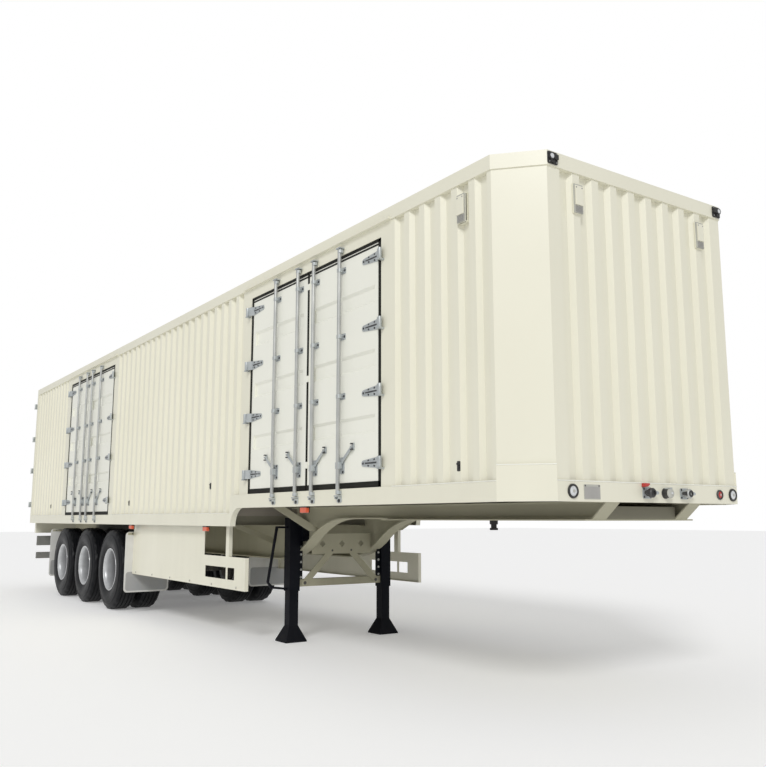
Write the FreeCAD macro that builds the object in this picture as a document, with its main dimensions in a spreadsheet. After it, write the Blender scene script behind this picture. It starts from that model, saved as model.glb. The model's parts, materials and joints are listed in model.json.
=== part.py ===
# Box semi-trailer with double doors in both sides and in the tail, standing on its wheels and legs.
# Millimetres. +X is forward, +Y left, +Z up. The origin is on the ground under the middle of the body.
import FreeCAD, Part
import math
import os
import Sketcher
from types import SimpleNamespace

doc = FreeCAD.newDocument("semi_trailer")

# Driving sizes. A name with back runs rearwards from the front face, one with ahead forwards from the tail.
sizes = {
    # body shell
    "body_length": 13700.0,
    "body_width": 2500.0,
    "roof_height": 3800.0,
    "tail_rail_bottom": 1200.0,
    "floor_rise": 190.0,
    "floor_rise_back": 4450.0,
    "rail_height": 137.0,
    "rail_web": 6.0,
    "rail_lip": 60.0,
    "top_rail_height": 108.0,
    "top_rail_width": 60.0,
    "corner_along": 290.0,
    "corner_across": 267.0,
    "wall_inset": 10.0,
    "wall_thickness": 46.0,
    "wave_depth": 36.0,
    "wave_pitch": 198.0,
    "roof_thickness": 30.0,
    "roof_inset": 6.0,
    "roof_wave_depth": 15.0,
    "roof_wave_pitch": 1120.0,
    "deck_thickness": 28.0,
    "member_height": 100.0,
    "member_width": 50.0,
    "member_wall": 6.0,
    "member_pitch": 400.0,
    "first_member_back": 300.0,
    "tail_frame_depth": 100.0,
    "tail_post_width": 80.0,
    "tail_header_height": 160.0,
    # doors
    "front_door_back": 2860.0,
    "tail_side_door_ahead": 3735.0,
    "doorway_width": 2420.0,
    "doorway_head": 110.0,
    "jamb_width": 150.0,
    "gutter_reach": 25.0,
    "gutter_height": 14.0,
    "leaf_thickness": 50.0,
    "leaf_inset": 15.0,
    "leaf_gap": 8.0,
    "leaf_stile": 90.0,
    "groove_depth": 22.0,
    "groove_height": 150.0,
    "hinge_proud": 25.0,
    "hinge_over_jamb": 30.0,
    "hinge_radius": 17.0,
    "blade_length": 290.0,
    "blade_height": 90.0,
    "blade_thickness": 12.0,
    "pin_gap": 0.5,
    "rod_radius": 17.0,
    "rod_stand_off": 38.0,
    "rod_from_meeting": 150.0,
    "rod_pitch": 455.0,
    "cam_height": 46.0,
    "keeper_thickness": 12.0,
    "keeper_gap": 6.0,
    "handle_run": 190.0,
    "handle_rise": 150.0,
    "hub_plate_height": 140.0,
    # chassis
    "coupler_height": 1265.0,
    "coupler_plate_thickness": 10.0,
    "coupler_plate_width": 1180.0,
    "coupler_plate_end_back": 2600.0,
    "nose_slope_back": 130.0,
    "kingpin_back": 1720.0,
    "kingpin_length": 84.0,
    "kingpin_shoulder_radius": 36.5,
    "kingpin_neck_radius": 25.4,
    "kingpin_head_radius": 35.75,
    "kingpin_shoulder_length": 35.0,
    "kingpin_head_length": 19.0,
    "beam_offset": 450.0,
    "beam_bottom": 832.0,
    "beam_web": 10.0,
    "beam_flange": 14.0,
    "beam_flange_width": 140.0,
    "neck_curve_back": 3350.0,
    "neck_curve_length": 1400.0,
    # running gear
    "tyre_radius": 561.0,
    "tyre_width": 306.0,
    "tyre_bore_radius": 258.0,
    "bead_width": 214.0,
    "dual_spacing": 350.0,
    "track_half": 915.0,
    "middle_axle_ahead": 3770.0,
    "axle_spacing": 1310.0,
    "axle_section": 140.0,
    "rim_radius": 298.0,
    "rim_lip": 11.0,
    "hub_radius": 85.0,
    "hub_reach": 150.0,
    "hub_bore_radius": 45.0,
    "drum_radius": 205.0,
    "drum_reach": 320.0,
    "bearing_gap": 0.3,
    "spring_width": 76.0,
    "spring_thickness": 66.0,
    "spring_half": 600.0,
    "spring_arch": 3000.0,
    "hanger_thickness": 100.0,
    "tank_radius": 140.0,
    "chamber_radius": 70.0,
    # legs
    "leg_back": 4290.0,
    "leg_offset": 590.0,
    "leg_tube": 125.0,
    "leg_top": 1290.0,
    "leg_tube_bottom": 520.0,
    "leg_slide": 106.0,
    "foot_width": 245.0,
    "foot_plate": 14.0,
    "foot_height": 165.0,
    "cross_tube_level": 600.0,
    "cross_tube_section": 76.0,
    "stay_width": 70.0,
    "stay_thickness": 10.0,
    "brace_plate_low": 900.0,
    "brace_plate_high": 1117.0,
    "diamond_half": 38.0,
    "diamond_pitch": 250.0,
    "crank_bar": 22.0,
    "crank_top": 1200.0,
    "crank_low": 620.0,
    "crank_reach": 140.0,
    "crank_lean": 95.0,
    "outrigger_reach": 1030.0,
    "outrigger_cut": 140.0,
    "outrigger_drop": 152.0,
    # guards, flaps and tail bars
    "guard_offset": 1140.0,
    "guard_sheet": 6.0,
    "guard_lip": 40.0,
    "guard_front_back": 4290.0,
    "guard_panel_back": 5375.0,
    "guard_bottom": 535.0,
    "guard_low_top": 875.0,
    "flap_thickness": 8.0,
    "flap_width": 630.0,
    "flap_bottom": 285.0,
    "flap_top": 1100.0,
    "flap_arm": 50.0,
    "flap_gap": 200.0,
    "bar_half_width": 1150.0,
    "bar_ahead": 200.0,
    "bar_depth": 60.0,
    "tail_member_bottom": 1010.0,
    "upper_bar_bottom": 777.0,
    "upper_bar_top": 956.0,
    "lower_bar_bottom": 534.0,
    "lower_bar_top": 652.0,
    # fittings
    "corner_base_height": 105.0,
    "top_lamp_offset": 935.0,
    "top_lamp_half": 48.0,
    "top_lamp_margin": 10.0,
    "lamp_proud": 30.0,
    "vent_back": 605.0,
    "vent_offset": 690.0,
    "vent_width": 90.0,
    "vent_height": 220.0,
    "vent_drop": 80.0,
}

sheet = doc.addObject("Spreadsheet::Sheet", "Sizes")
for row, (alias, number) in enumerate(sizes.items(), start=1):
    sheet.set(f"A{row}", alias)
    sheet.set(f"B{row}", str(number))
    sheet.setAlias(f"B{row}", alias)
doc.recompute()


class Size:
    """A length with its value and the sheet formula that gives it."""

    def __init__(self, value, formula):
        self.value = float(value)
        self.formula = formula

    def joined(self, other, sign, value):
        return Size(value, f"({self.formula} {sign} {other.formula})")

    def __add__(self, other):
        other = as_size(other)
        return self.joined(other, "+", self.value + other.value)

    def __sub__(self, other):
        other = as_size(other)
        return self.joined(other, "-", self.value - other.value)

    def __mul__(self, other):
        other = as_size(other)
        return self.joined(other, "*", self.value * other.value)

    def __truediv__(self, other):
        other = as_size(other)
        return self.joined(other, "/", self.value / other.value)

    def __radd__(self, other):
        return as_size(other) + self

    def __rsub__(self, other):
        return as_size(other) - self

    def __rmul__(self, other):
        return as_size(other) * self

    def __neg__(self):
        return 0 - self

    def __float__(self):
        return self.value


def as_size(item):
    return item if isinstance(item, Size) else Size(float(item), repr(float(item)))


def root(size):
    return Size(math.sqrt(size.value), f"sqrt({size.formula})")


def ordered(one, other):
    one, other = as_size(one), as_size(other)
    return (one, other) if one.value <= other.value else (other, one)


d = SimpleNamespace(**{alias: Size(number, f"Sizes.{alias}") for alias, number in sizes.items()})

# Planes and levels that many pieces share
front = d.body_length / 2
tail = -front
side = d.body_width / 2
front_rail_bottom = d.tail_rail_bottom + d.floor_rise
front_rail_top = front_rail_bottom + d.rail_height
tail_rail_top = d.tail_rail_bottom + d.rail_height
top_rail_bottom = d.roof_height - d.top_rail_height
doorway_top = top_rail_bottom - d.doorway_head
floor_rise_x = front - d.floor_rise_back
wall_face = side - d.wall_inset
wall_back = wall_face - d.wall_thickness
beam_top_front = front_rail_top - d.deck_thickness - d.member_height
beam_top_tail = beam_top_front - d.floor_rise
beam_end_x = tail + d.bar_ahead + d.bar_depth
leg_x = front - d.leg_back
axle_xs = [tail + d.middle_axle_ahead + step * d.axle_spacing for step in (1, 0, -1)]
front_flap_x = axle_xs[0] + d.tyre_radius + d.flap_gap + d.flap_thickness
tail_flap_x = axle_xs[2] - d.tyre_radius - d.flap_gap


# Drawing helpers: each gives a document object whose sizes follow the sheet
def bind(item, prop, size):
    item.setExpression(prop, as_size(size).formula)


def box(name, x, y, z):
    item = doc.addObject("Part::Box", name)
    limits = [ordered(*pair) for pair in (x, y, z)]
    for prop, (low, high) in zip(("Length", "Width", "Height"), limits):
        bind(item, prop, high - low)
    for axis, (low, high) in zip("xyz", limits):
        bind(item, f"Placement.Base.{axis}", low)
    return item


def prism(name, sides, radius, base, height, axis="z", twist=0):
    """A regular prism that starts at base and runs along +axis, twisted about it by an angle."""
    item = doc.addObject("Part::Prism", name)
    item.Polygon = sides
    bind(item, "Circumradius", radius)
    bind(item, "Height", height)
    turns = {"z": FreeCAD.Rotation(), "x": FreeCAD.Rotation(0, 90, 0), "y": FreeCAD.Rotation(0, 0, -90)}
    spin = FreeCAD.Rotation(twist, 0, 0)
    item.Placement = FreeCAD.Placement(FreeCAD.Vector(), turns[axis].multiply(spin))
    for letter, value in zip("xyz", base):
        bind(item, f"Placement.Base.{letter}", value)
    return item


def origin_plane(body, plane):
    return next(item for item in body.Origin.OriginFeatures if item.Role == f"{plane}_Plane")


def draw(body, name, plane, loops, offset):
    """A sketch of closed loops on an origin plane. A corner is (across, up) or (across, up, radius),
    where a radius bends the edge that follows, to the left if positive and to the right if negative."""
    sketch = body.newObject("Sketcher::SketchObject", name)
    sketch.AttachmentSupport = (origin_plane(body, plane), [""])
    sketch.MapMode = "FlatFace"
    bind(sketch, "AttachmentOffset.Base.z", offset)
    for loop in loops:
        corners = [(as_size(corner[0]), as_size(corner[1])) for corner in loop]
        bends = [as_size(corner[2]) if len(corner) > 2 else None for corner in loop]
        ends = []
        for index, bend in enumerate(bends):
            start, stop = corners[index], corners[(index + 1) % len(corners)]
            tip = [FreeCAD.Vector(float(point[0]), float(point[1]), 0) for point in (start, stop)]
            if bend is None:
                edge = sketch.addGeometry(Part.LineSegment(*tip), False)
                ends.append((edge, 1, 2))
                continue
            edge = sketch.addGeometry(bent_edge(*tip, float(bend)), False)
            ends.append((edge, 1, 2) if float(bend) > 0 else (edge, 2, 1))
            number = sketch.addConstraint(Sketcher.Constraint("Radius", edge, abs(float(bend))))
            bind(sketch, f"Constraints[{number}]", bend if float(bend) > 0 else -bend)
        for index, (edge, begin, finish) in enumerate(ends):
            after = ends[(index + 1) % len(ends)]
            sketch.addConstraint(Sketcher.Constraint("Coincident", edge, finish, after[0], after[1]))
            for kind, value in zip(("DistanceX", "DistanceY"), corners[index]):
                rule = Sketcher.Constraint(kind, -1, 1, edge, begin, float(value))
                number = sketch.addConstraint(rule)
                bind(sketch, f"Constraints[{number}]", value)
    return sketch


def bent_edge(start, stop, bend):
    """An arc of less than half a turn, with its centre on the left of the way if bend is positive."""
    chord = stop.sub(start)
    half = chord.Length / 2
    left = FreeCAD.Vector(-chord.y, chord.x, 0).normalize()
    reach = math.sqrt(max(bend * bend - half * half, 0))
    centre = start.add(chord.multiply(0.5)).add(left.multiply(math.copysign(reach, bend)))
    circle = Part.Circle(centre, FreeCAD.Vector(0, 0, 1), abs(bend))
    first, last = (start, stop) if bend > 0 else (stop, start)
    angles = [math.atan2(point.y - centre.y, point.x - centre.x) for point in (first, last)]
    if angles[1] < angles[0]:
        angles[1] += 2 * math.pi
    return Part.ArcOfCircle(circle, *angles)


def pad(name, plane, loops, start, depth, pieces=False):
    """Closed loops on a plane, padded from start towards the plane's positive axis."""
    body = doc.addObject("PartDesign::Body", name)
    body.AllowCompound = pieces
    flip = plane == "XZ"
    sketch = draw(body, f"{name}_outline", plane, loops, -as_size(start) if flip else start)
    feature = body.newObject("PartDesign::Pad", f"{name}_pad")
    feature.Profile = sketch
    feature.Reversed = flip
    bind(feature, "Length", depth)
    sketch.Visibility = False
    return body


def rectangle(across, up):
    (left, right), (low, high) = ordered(*across), ordered(*up)
    return [(left, low), (right, low), (right, high), (left, high)]


def fuse(name, items):
    item = doc.addObject("Part::MultiFuse", name)
    item.Shapes = items
    item.Refine = True
    return item


def cut(name, base, tool):
    item = doc.addObject("Part::Cut", name)
    item.Base = base
    item.Tool = tool
    item.Refine = True
    return item


def group(name, items):
    item = doc.addObject("Part::Compound", name)
    item.Links = items
    return item


def mirrored(name, source, normal=(0, 1, 0)):
    item = doc.addObject("Part::Mirroring", name)
    item.Source = source
    item.Normal = FreeCAD.Vector(*normal)
    return item


def both_sides(name, source):
    return group(name, [source, mirrored(f"{name}_left", source)])


def feature(name, shape):
    item = doc.addObject("Part::Feature", name)
    item.Shape = shape
    return item


def turned(name, outline, sides, centre, axis, phase=0.0):
    """A closed outline of (radius, height) turned about an axis in flat facets. It may start and end
    on the axis itself, where its facets are triangles."""
    up = FreeCAD.Vector(*axis)
    across = FreeCAD.Vector(1, 0, 0) if abs(up.x) < abs(up.z) + abs(up.y) else FreeCAD.Vector(0, 0, 1)
    other = up.cross(across)
    step = 2 * math.pi / sides
    middle = FreeCAD.Vector(*[float(value) for value in centre])

    def ring(radius, height):
        points = []
        for index in range(sides):
            angle = phase + index * step
            reach = across * (math.cos(angle) * radius) + other * (math.sin(angle) * radius)
            points.append(middle + up * height + reach)
        return points

    rings = [ring(float(radius), float(height)) for radius, height in outline]
    faces = []
    for index, lower in enumerate(rings):
        upper = rings[(index + 1) % len(rings)]
        for turn in range(sides):
            after = (turn + 1) % sides
            corners = []
            for point in (lower[turn], lower[after], upper[after], upper[turn]):
                if not corners or point.distanceToPoint(corners[-1]) > 1e-6:
                    corners.append(point)
            if corners[0].distanceToPoint(corners[-1]) < 1e-6:
                corners.pop()
            if len(corners) > 2:
                faces.append(Part.Face(Part.makePolygon(corners + corners[:1])))
    solid = Part.Solid(Part.Shell(faces))
    if solid.Volume < 0:
        solid.reverse()
    return feature(name, solid)


# Corrugated sheets: trapezoid waves outside, flat lining inside
crest_share = 0.35
slope_share = 0.15


def wave_line(start, stop, pitch, face, depth):
    """Corners (along, out) of a waved outer face between two ends, waves centred between them."""
    direction = math.copysign(1, stop - start)
    count = max(1, int(abs(stop - start) / pitch + 1e-6))
    margin = (abs(stop - start) - count * pitch) / 2
    corners = [(start, face)]
    for index in range(count):
        left = start + direction * (margin + index * pitch)
        for share, out in ((crest_share / 2, face), (crest_share / 2 + slope_share, face - depth)):
            corners.append((left + direction * share * pitch, out))
        for share, out in ((crest_share / 2 + slope_share, face - depth), (crest_share / 2, face)):
            corners.append((left + direction * (1 - share) * pitch, out))
    corners.append((stop, face))
    return corners


def corrugated(name, ends, pitch, face, depth, thickness, place, run):
    """A waved slab whose corners place() puts in space, swept along the vector run."""
    start, stop = (float(end) for end in ends)
    face, depth, thickness = float(face), float(depth), float(thickness)
    corners = wave_line(start, stop, float(pitch), face, depth)
    corners += [(stop, face - thickness), (start, face - thickness)]
    points = [place(*corner) for corner in corners]
    solid = Part.Face(Part.makePolygon(points + points[:1])).extrude(run)
    return feature(name, solid)


def cut_corner(inwards):
    """Where the slanting front corner's face, moved inwards, meets the side's and the front's."""
    slant = root(d.corner_along * d.corner_along + d.corner_across * d.corner_across)
    x = front - d.corner_along - inwards * (slant - d.corner_along) / d.corner_across
    y = side - d.corner_across - inwards * (slant - d.corner_across) / d.corner_along
    return (x, side - inwards), (front - inwards, y)


# Chassis
def neck_edge(lift):
    """The beam's lower edge from nose to tail, raised by lift: slope, flat, two equal arcs, flat."""
    high = d.coupler_height + d.coupler_plate_thickness
    fall = high - d.beam_bottom
    run = d.neck_curve_length
    radius = (run * run + fall * fall) / (4 * fall)
    grown = radius + lift
    start = front - d.neck_curve_back
    return [
        (front - d.rail_web, beam_top_front - d.beam_flange + lift),
        (front - d.nose_slope_back, high + lift),
        (start, high + lift, grown),
        (start - run / 2 * grown / radius, high - radius + (radius - fall / 2) * grown / radius, lift - radius),
        (start - run, d.beam_bottom + lift),
        (beam_end_x, d.beam_bottom + lift),
    ]


def flange_top(x):
    """The upper face of the beam's lower flange at a place x within the neck's first arc."""
    high = d.coupler_height + d.coupler_plate_thickness
    fall = high - d.beam_bottom
    radius = (d.neck_curve_length * d.neck_curve_length + fall * fall) / (4 * fall)
    along = front - d.neck_curve_back - x
    grown = radius + d.beam_flange
    return high - radius + root(grown * grown - along * along)


def backwards(outline):
    """The same run of edges from its end to its start."""
    steps = []
    for index in range(len(outline) - 1, -1, -1):
        before = outline[index - 1] if index > 0 else ()
        bend = (-before[2],) if len(before) > 2 else ()
        steps.append(outline[index][:2] + bend)
    return steps


def main_beams():
    half = d.beam_flange / 2
    nose = front - d.rail_web
    top = [
        (beam_end_x, beam_top_tail - half),
        (floor_rise_x, beam_top_tail - half),
        (floor_rise_x, beam_top_front - half),
    ]
    web_right = -d.beam_offset - d.beam_web / 2
    flange_right = -d.beam_offset - d.beam_flange_width / 2
    flange_y = (flange_right, flange_right + d.beam_flange_width)
    web = pad("beam_web_plate", "XZ", [neck_edge(half) + top], web_right, d.beam_web)
    low = [neck_edge(0) + backwards(neck_edge(d.beam_flange))]
    lower = pad("beam_lower_flange", "XZ", low, flange_right, d.beam_flange_width)
    front_z = (beam_top_front - d.beam_flange, beam_top_front)
    tail_z = (beam_top_tail - d.beam_flange, beam_top_tail)
    upper = [
        box("beam_front_flange", (floor_rise_x, nose), flange_y, front_z),
        box("beam_tail_flange", (beam_end_x, floor_rise_x), flange_y, tail_z),
    ]
    return both_sides("main_beams", fuse("beam_right", [web, lower] + upper))


def member_rows():
    """Both rows of cross members: name, front face of the first, end of the row, floor level."""
    return (
        ("front_member", front - d.first_member_back, floor_rise_x + d.member_pitch / 4, front_rail_top),
        ("tail_member", floor_rise_x - d.member_pitch / 4, tail + d.tail_frame_depth, tail_rail_top),
    )


def cross_members():
    """Angle members between the side rails, one row under each floor level."""
    rows = []
    reach = side - d.rail_web
    for name, first, last, floor in member_rows():
        top = floor - d.deck_thickness
        count = int(float(first - last) / float(d.member_pitch) + 1e-6) + 1
        low, wall = top - d.member_height, d.member_wall
        back = first - d.member_width
        angle = [
            (back, low), (first, low), (first, low + wall), (back + wall, low + wall), (back + wall, top),
            (back, top),
        ]
        body = pad(name, "XZ", [angle], -reach, 2 * reach, pieces=True)
        row = body.newObject("PartDesign::LinearPattern", f"{name}_row")
        row.Originals = [body.Tip]
        row.Direction = (next(item for item in body.Origin.OriginFeatures if item.Role == "X_Axis"), [""])
        row.Reversed = True
        bind(row, "Length", (count - 1) * d.member_pitch)
        row.Occurrences = count
        body.Tip = row
        rows.append(body)
    return group("cross_members", rows)


kingpin_sides = 12


def coupler_plate():
    """The rubbing plate under the beams with the kingpin that hangs from it."""
    half = d.coupler_plate_width / 2
    ends = (front - d.coupler_plate_end_back, front - d.nose_slope_back)
    plate_z = (d.coupler_height, d.coupler_height + d.coupler_plate_thickness)
    plate = box("rubbing_plate", ends, (-half, half), plate_z)
    return fuse("coupler_plate", [plate] + kingpin())


def kingpin():
    """Shoulder and neck in facets, and the head that carries the load truly round."""
    x = front - d.kingpin_back
    bottom = d.coupler_height - d.kingpin_length
    head_top, neck_top = bottom + d.kingpin_head_length, d.coupler_height - d.kingpin_shoulder_length
    head = doc.addObject("Part::Cylinder", "kingpin_head")
    bind(head, "Radius", d.kingpin_head_radius)
    bind(head, "Height", d.kingpin_head_length)
    bind(head, "Placement.Base.x", x)
    bind(head, "Placement.Base.z", bottom)
    neck = prism("kingpin_neck", kingpin_sides, d.kingpin_neck_radius, (x, 0, head_top), neck_top - head_top)
    shoulder = prism(
        "kingpin_shoulder", kingpin_sides, d.kingpin_shoulder_radius, (x, 0, neck_top), d.kingpin_shoulder_length
    )
    return [head, neck, shoulder]


# Body shell
def floor_deck():
    reach = side - d.rail_web
    nose = front - d.rail_web
    tail_x = tail + d.tail_frame_depth
    low_top, high_top = tail_rail_top, front_rail_top
    thick = d.deck_thickness
    outline = [
        (tail_x, low_top - thick), (floor_rise_x, low_top - thick), (floor_rise_x, high_top - thick),
        (nose, high_top - thick), (nose, high_top),
        (floor_rise_x - thick, high_top), (floor_rise_x - thick, low_top), (tail_x, low_top),
    ]
    slab = pad("deck_slab", "XZ", [outline], -reach, 2 * reach)
    corner = cut_corner(d.rail_web)
    over = d.corner_along + d.corner_across
    beyond = [(corner[0][0], side + over), (front + over, side + over), (front + over, corner[1][1])]
    trim = [corner[0]] + beyond + [corner[1]]
    nose_left = pad("deck_corner_left", "XY", [trim], d.tail_rail_bottom, d.roof_height)
    nose_right = mirrored("deck_corner_right", nose_left)
    return cut("floor_deck", cut("deck_left_trimmed", slab, nose_left), nose_right)


def bottom_rails():
    """Channel rails along both sides, with a round step up to the raised floor, joined round the nose."""
    low, high = d.tail_rail_bottom, front_rail_bottom
    end, start = tail + d.tail_frame_depth, front - d.corner_along
    lip, radius = d.rail_web, d.floor_rise
    riser = floor_rise_x - d.deck_thickness
    outer = [
        (end, low), (floor_rise_x, low, -radius), (floor_rise_x + radius, high), (start, high),
        (start, front_rail_top), (riser, front_rail_top), (riser, tail_rail_top), (end, tail_rail_top),
    ]
    band = [
        (end, low), (floor_rise_x, low, -radius), (floor_rise_x + radius, high), (start, high),
        (start, high + lip), (floor_rise_x + radius, high + lip, radius + lip), (floor_rise_x - lip, low + lip),
        (end, low + lip),
    ]
    web = pad("rail_web_plate", "XZ", [outer], -side, d.rail_web)
    flange = pad("rail_lip_plate", "XZ", [band], -side, d.rail_lip)
    rail = fuse("rail_right", [web, flange])
    out, inn = cut_corner(0), cut_corner(d.rail_web)
    ring = [out[0], (start, side - d.rail_web), inn[0], inn[1]]
    ring += [(point[0], -point[1]) for point in (inn[1], inn[0])]
    ring += [(start, -(side - d.rail_web)), (out[0][0], -out[0][1]), (out[1][0], -out[1][1]), out[1]]
    nose = pad("rail_nose", "XY", [ring], high, d.rail_height)
    return fuse("bottom_rails", [rail, mirrored("rail_left", rail), nose])


def side_bays():
    """Wall stretches of one side, from the front: (name, front end, tail end)."""
    reach = d.doorway_width / 2 + d.jamb_width
    first, second = door_centres()
    return [
        ("front", cut_corner(d.wall_inset)[0][0], first + reach),
        ("middle", first - reach, second + reach),
        ("tail", second - reach, tail + d.tail_frame_depth),
    ]


def door_centres():
    return front - d.front_door_back, tail + d.tail_side_door_ahead


def side_wall(name, hand):
    """The corrugated stretches of one side wall; hand is -1 on the right and 1 on the left."""
    up = FreeCAD.Vector(0, 0, float(top_rail_bottom - tail_rail_top))
    bays = []
    for label, begin, end in side_bays():
        high = float(end) > float(floor_rise_x)
        bottom = front_rail_top if high else tail_rail_top
        run = FreeCAD.Vector(0, 0, float(top_rail_bottom - bottom))
        bay = corrugated(
            f"{name}_{label}_sheet", (begin, end), d.wave_pitch, wall_face, d.wave_depth, d.wall_thickness,
            lambda along, out: FreeCAD.Vector(along, hand * out, float(bottom)), run,
        )
        if label == "middle":
            step = box(
                f"{name}_step", (floor_rise_x - d.deck_thickness, front), (hand * side, 0),
                (d.tail_rail_bottom, front_rail_top),
            )
            bay = cut(f"{name}_{label}_stepped", bay, step)
        bays.append(bay)
    return group(name, bays)


def front_wall():
    reach = cut_corner(d.wall_inset)[1][1]
    run = FreeCAD.Vector(0, 0, float(top_rail_bottom - front_rail_top))
    face = float(front - d.wall_inset)
    return corrugated(
        "front_wall", (-reach, reach), d.wave_pitch, face, d.wave_depth, d.wall_thickness,
        lambda along, out: FreeCAD.Vector(out, along, float(front_rail_top)), run,
    )


def corner_panels():
    out, back = cut_corner(d.wall_inset), cut_corner(d.wall_inset + d.wall_thickness)
    end = (front - d.wall_inset - d.wall_thickness, out[1][1])
    left = [out[0], (out[0][0], wall_back), back[0], back[1], end, out[1]]
    proud = cut_corner(0)
    band = [proud[0], proud[1], out[1], out[0]]
    height = top_rail_bottom - front_rail_top
    post = pad("corner_post", "XY", [[(x, -as_size(y)) for x, y in left]], front_rail_top, height)
    base = pad("corner_base", "XY", [[(x, -as_size(y)) for x, y in band]], front_rail_top, d.corner_base_height)
    return both_sides("corner_panels", fuse("corner_right", [post, base]))


def top_rails():
    out, inn = cut_corner(0), cut_corner(d.top_rail_width)
    end = tail + d.tail_frame_depth
    half = [(end, side), out[0], out[1]]
    back = [inn[1], inn[0], (end, side - d.top_rail_width)]
    loop = half + [(point[0], -point[1]) for point in reversed(half)]
    loop += [(point[0], -point[1]) for point in reversed(back)] + back
    return pad("top_rails", "XY", [loop], top_rail_bottom, d.top_rail_height)


def roof_sheet():
    inner = side - d.top_rail_width
    reach = float(inner)
    run = FreeCAD.Vector(0, 2 * reach, 0)
    ends = (cut_corner(d.top_rail_width)[0][0], tail + d.tail_frame_depth)
    slab = corrugated(
        "roof_waves", ends, d.roof_wave_pitch, d.roof_height - d.roof_inset, d.roof_wave_depth, d.roof_thickness,
        lambda along, out: FreeCAD.Vector(along, -reach, out), run,
    )
    inn = cut_corner(d.top_rail_width)
    low = d.roof_height - d.roof_inset - d.roof_thickness
    nose = [(inn[0][0], -inn[0][1]), (inn[1][0], -inn[1][1]), inn[1], inn[0]]
    cap = pad("roof_nose", "XY", [nose], low, d.roof_thickness)
    return fuse("roof_sheet", [slab, cap])


def tail_frame():
    x = (tail, tail + d.tail_frame_depth)
    inner = side - d.tail_post_width
    z = (d.tail_rail_bottom, d.roof_height)
    header = (d.roof_height - d.tail_header_height, d.roof_height)
    return group("tail_frame", [
        box("tail_post_right", x, (-side, -inner), z),
        box("tail_post_left", x, (inner, side), z),
        box("tail_header", x, (-inner, inner), header),
        box("tail_sill", x, (-inner, inner), (d.tail_rail_bottom, tail_rail_top)),
        box("tail_member", x, (-d.bar_half_width, d.bar_half_width), (d.tail_member_bottom, d.tail_rail_bottom)),
    ])


def doorway_frames():
    items = []
    y = (-wall_face, -wall_back)
    for label, centre in zip(("front", "tail"), door_centres()):
        bottom = front_rail_top if label == "front" else tail_rail_top
        half = d.doorway_width / 2
        for end, near, far in (("fore", half, half + d.jamb_width), ("aft", -half, -half - d.jamb_width)):
            x = (centre + near, centre + far)
            items.append(box(f"{label}_jamb_{end}", x, y, (bottom, top_rail_bottom)))
        x = (centre - half, centre + half)
        items.append(box(f"{label}_header", x, y, (doorway_top, top_rail_bottom)))
        gutter_x = (centre - half - d.jamb_width, centre + half + d.jamb_width)
        gutter_z = (top_rail_bottom, top_rail_bottom + d.gutter_height)
        items.append(box(f"{label}_gutter", gutter_x, (-side, -side - d.gutter_reach), gutter_z))
    return both_sides("doorway_frames", group("doorway_frames_right", items))


# Doors. A wall frame turns places along the wall, out of it and up into the trailer's own axes
hinge_height_shares = (0.096, 0.379, 0.646, 0.928)
groove_height_shares = (0.25, 0.515, 0.78)
guide_height_shares = (0.385, 0.64)
blade_taper_share = 0.22
rod_sides = 6


class RightSide:
    """Along is +X, out is -Y, measured from the body's side."""

    plane_across, plane_face = "YZ", "XZ"

    @staticmethod
    def spots(along, out):
        return along, -side - out

    @staticmethod
    def across(out):
        return -side - out


class TailEnd:
    """Along is +Y, out is -X, measured from the body's tail."""

    plane_across, plane_face = "XZ", "YZ"

    @staticmethod
    def spots(along, out):
        return tail - out, along

    @staticmethod
    def across(out):
        return tail - out


def wall_box(wall, name, along, out, up):
    one = wall.spots(along[0], out[0])
    other = wall.spots(along[1], out[1])
    return box(name, (one[0], other[0]), (one[1], other[1]), up)


def door_places():
    """Every door leaf: name, wall, hinge axis along the wall, its way to the meeting edge, edges, levels."""
    half = d.doorway_width / 2
    places = []
    for label, centre in zip(("front", "tail"), door_centres()):
        bottom = front_rail_top if label == "front" else tail_rail_top
        for end, way in (("fore", -1), ("aft", 1)):
            edge = centre - way * half
            places.append((f"right_{label}_{end}", RightSide, edge, way, half, bottom, doorway_top))
    half = side - d.tail_post_width
    top = d.roof_height - d.tail_header_height
    for end, way in (("right", 1), ("left", -1)):
        places.append((f"tail_{end}", TailEnd, -way * half, way, half, tail_rail_top, top))
    return places


def hinge_place(wall, edge, way):
    over = d.hinge_over_jamb if wall is RightSide else d.tail_post_width + d.hinge_proud
    return edge - way * over


def door_leaf(name, wall, edge, way, half, bottom, top):
    """A leaf with two stiles and a panel that is grooved across its outer face."""
    low, high = bottom + d.leaf_gap, top - d.leaf_gap
    outer, inner = -d.leaf_inset, -d.leaf_inset - d.leaf_thickness
    hinge_side = edge + way * d.leaf_gap
    meeting = edge + way * (half - d.leaf_gap / 2)
    tall = high - low
    line = [(wall.across(inner), low), (wall.across(outer), low)]
    for share in groove_height_shares:
        middle = low + share * tall
        lip, slope = d.groove_height / 2, d.groove_depth
        for z, out in (
            (middle - lip, outer), (middle - lip + slope, outer - d.groove_depth),
            (middle + lip - slope, outer - d.groove_depth), (middle + lip, outer),
        ):
            line.append((wall.across(out), z))
    line += [(wall.across(outer), high), (wall.across(inner), high)]
    ends = ordered(hinge_side + way * d.leaf_stile, meeting - way * d.leaf_stile)
    panel = pad(f"{name}_panel", wall.plane_across, [line], ends[0], ends[1] - ends[0])
    stiles = [
        wall_box(wall, f"{name}_{label}_stile", along, (inner, outer), (low, high))
        for label, along in (
            ("hinge", (hinge_side, hinge_side + way * d.leaf_stile)),
            ("lock", (meeting - way * d.leaf_stile, meeting)),
        )
    ]
    return fuse(name, [panel] + stiles)


def hinge_levels(bottom, top):
    return [bottom + share * (top - bottom) for share in hinge_height_shares]


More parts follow.
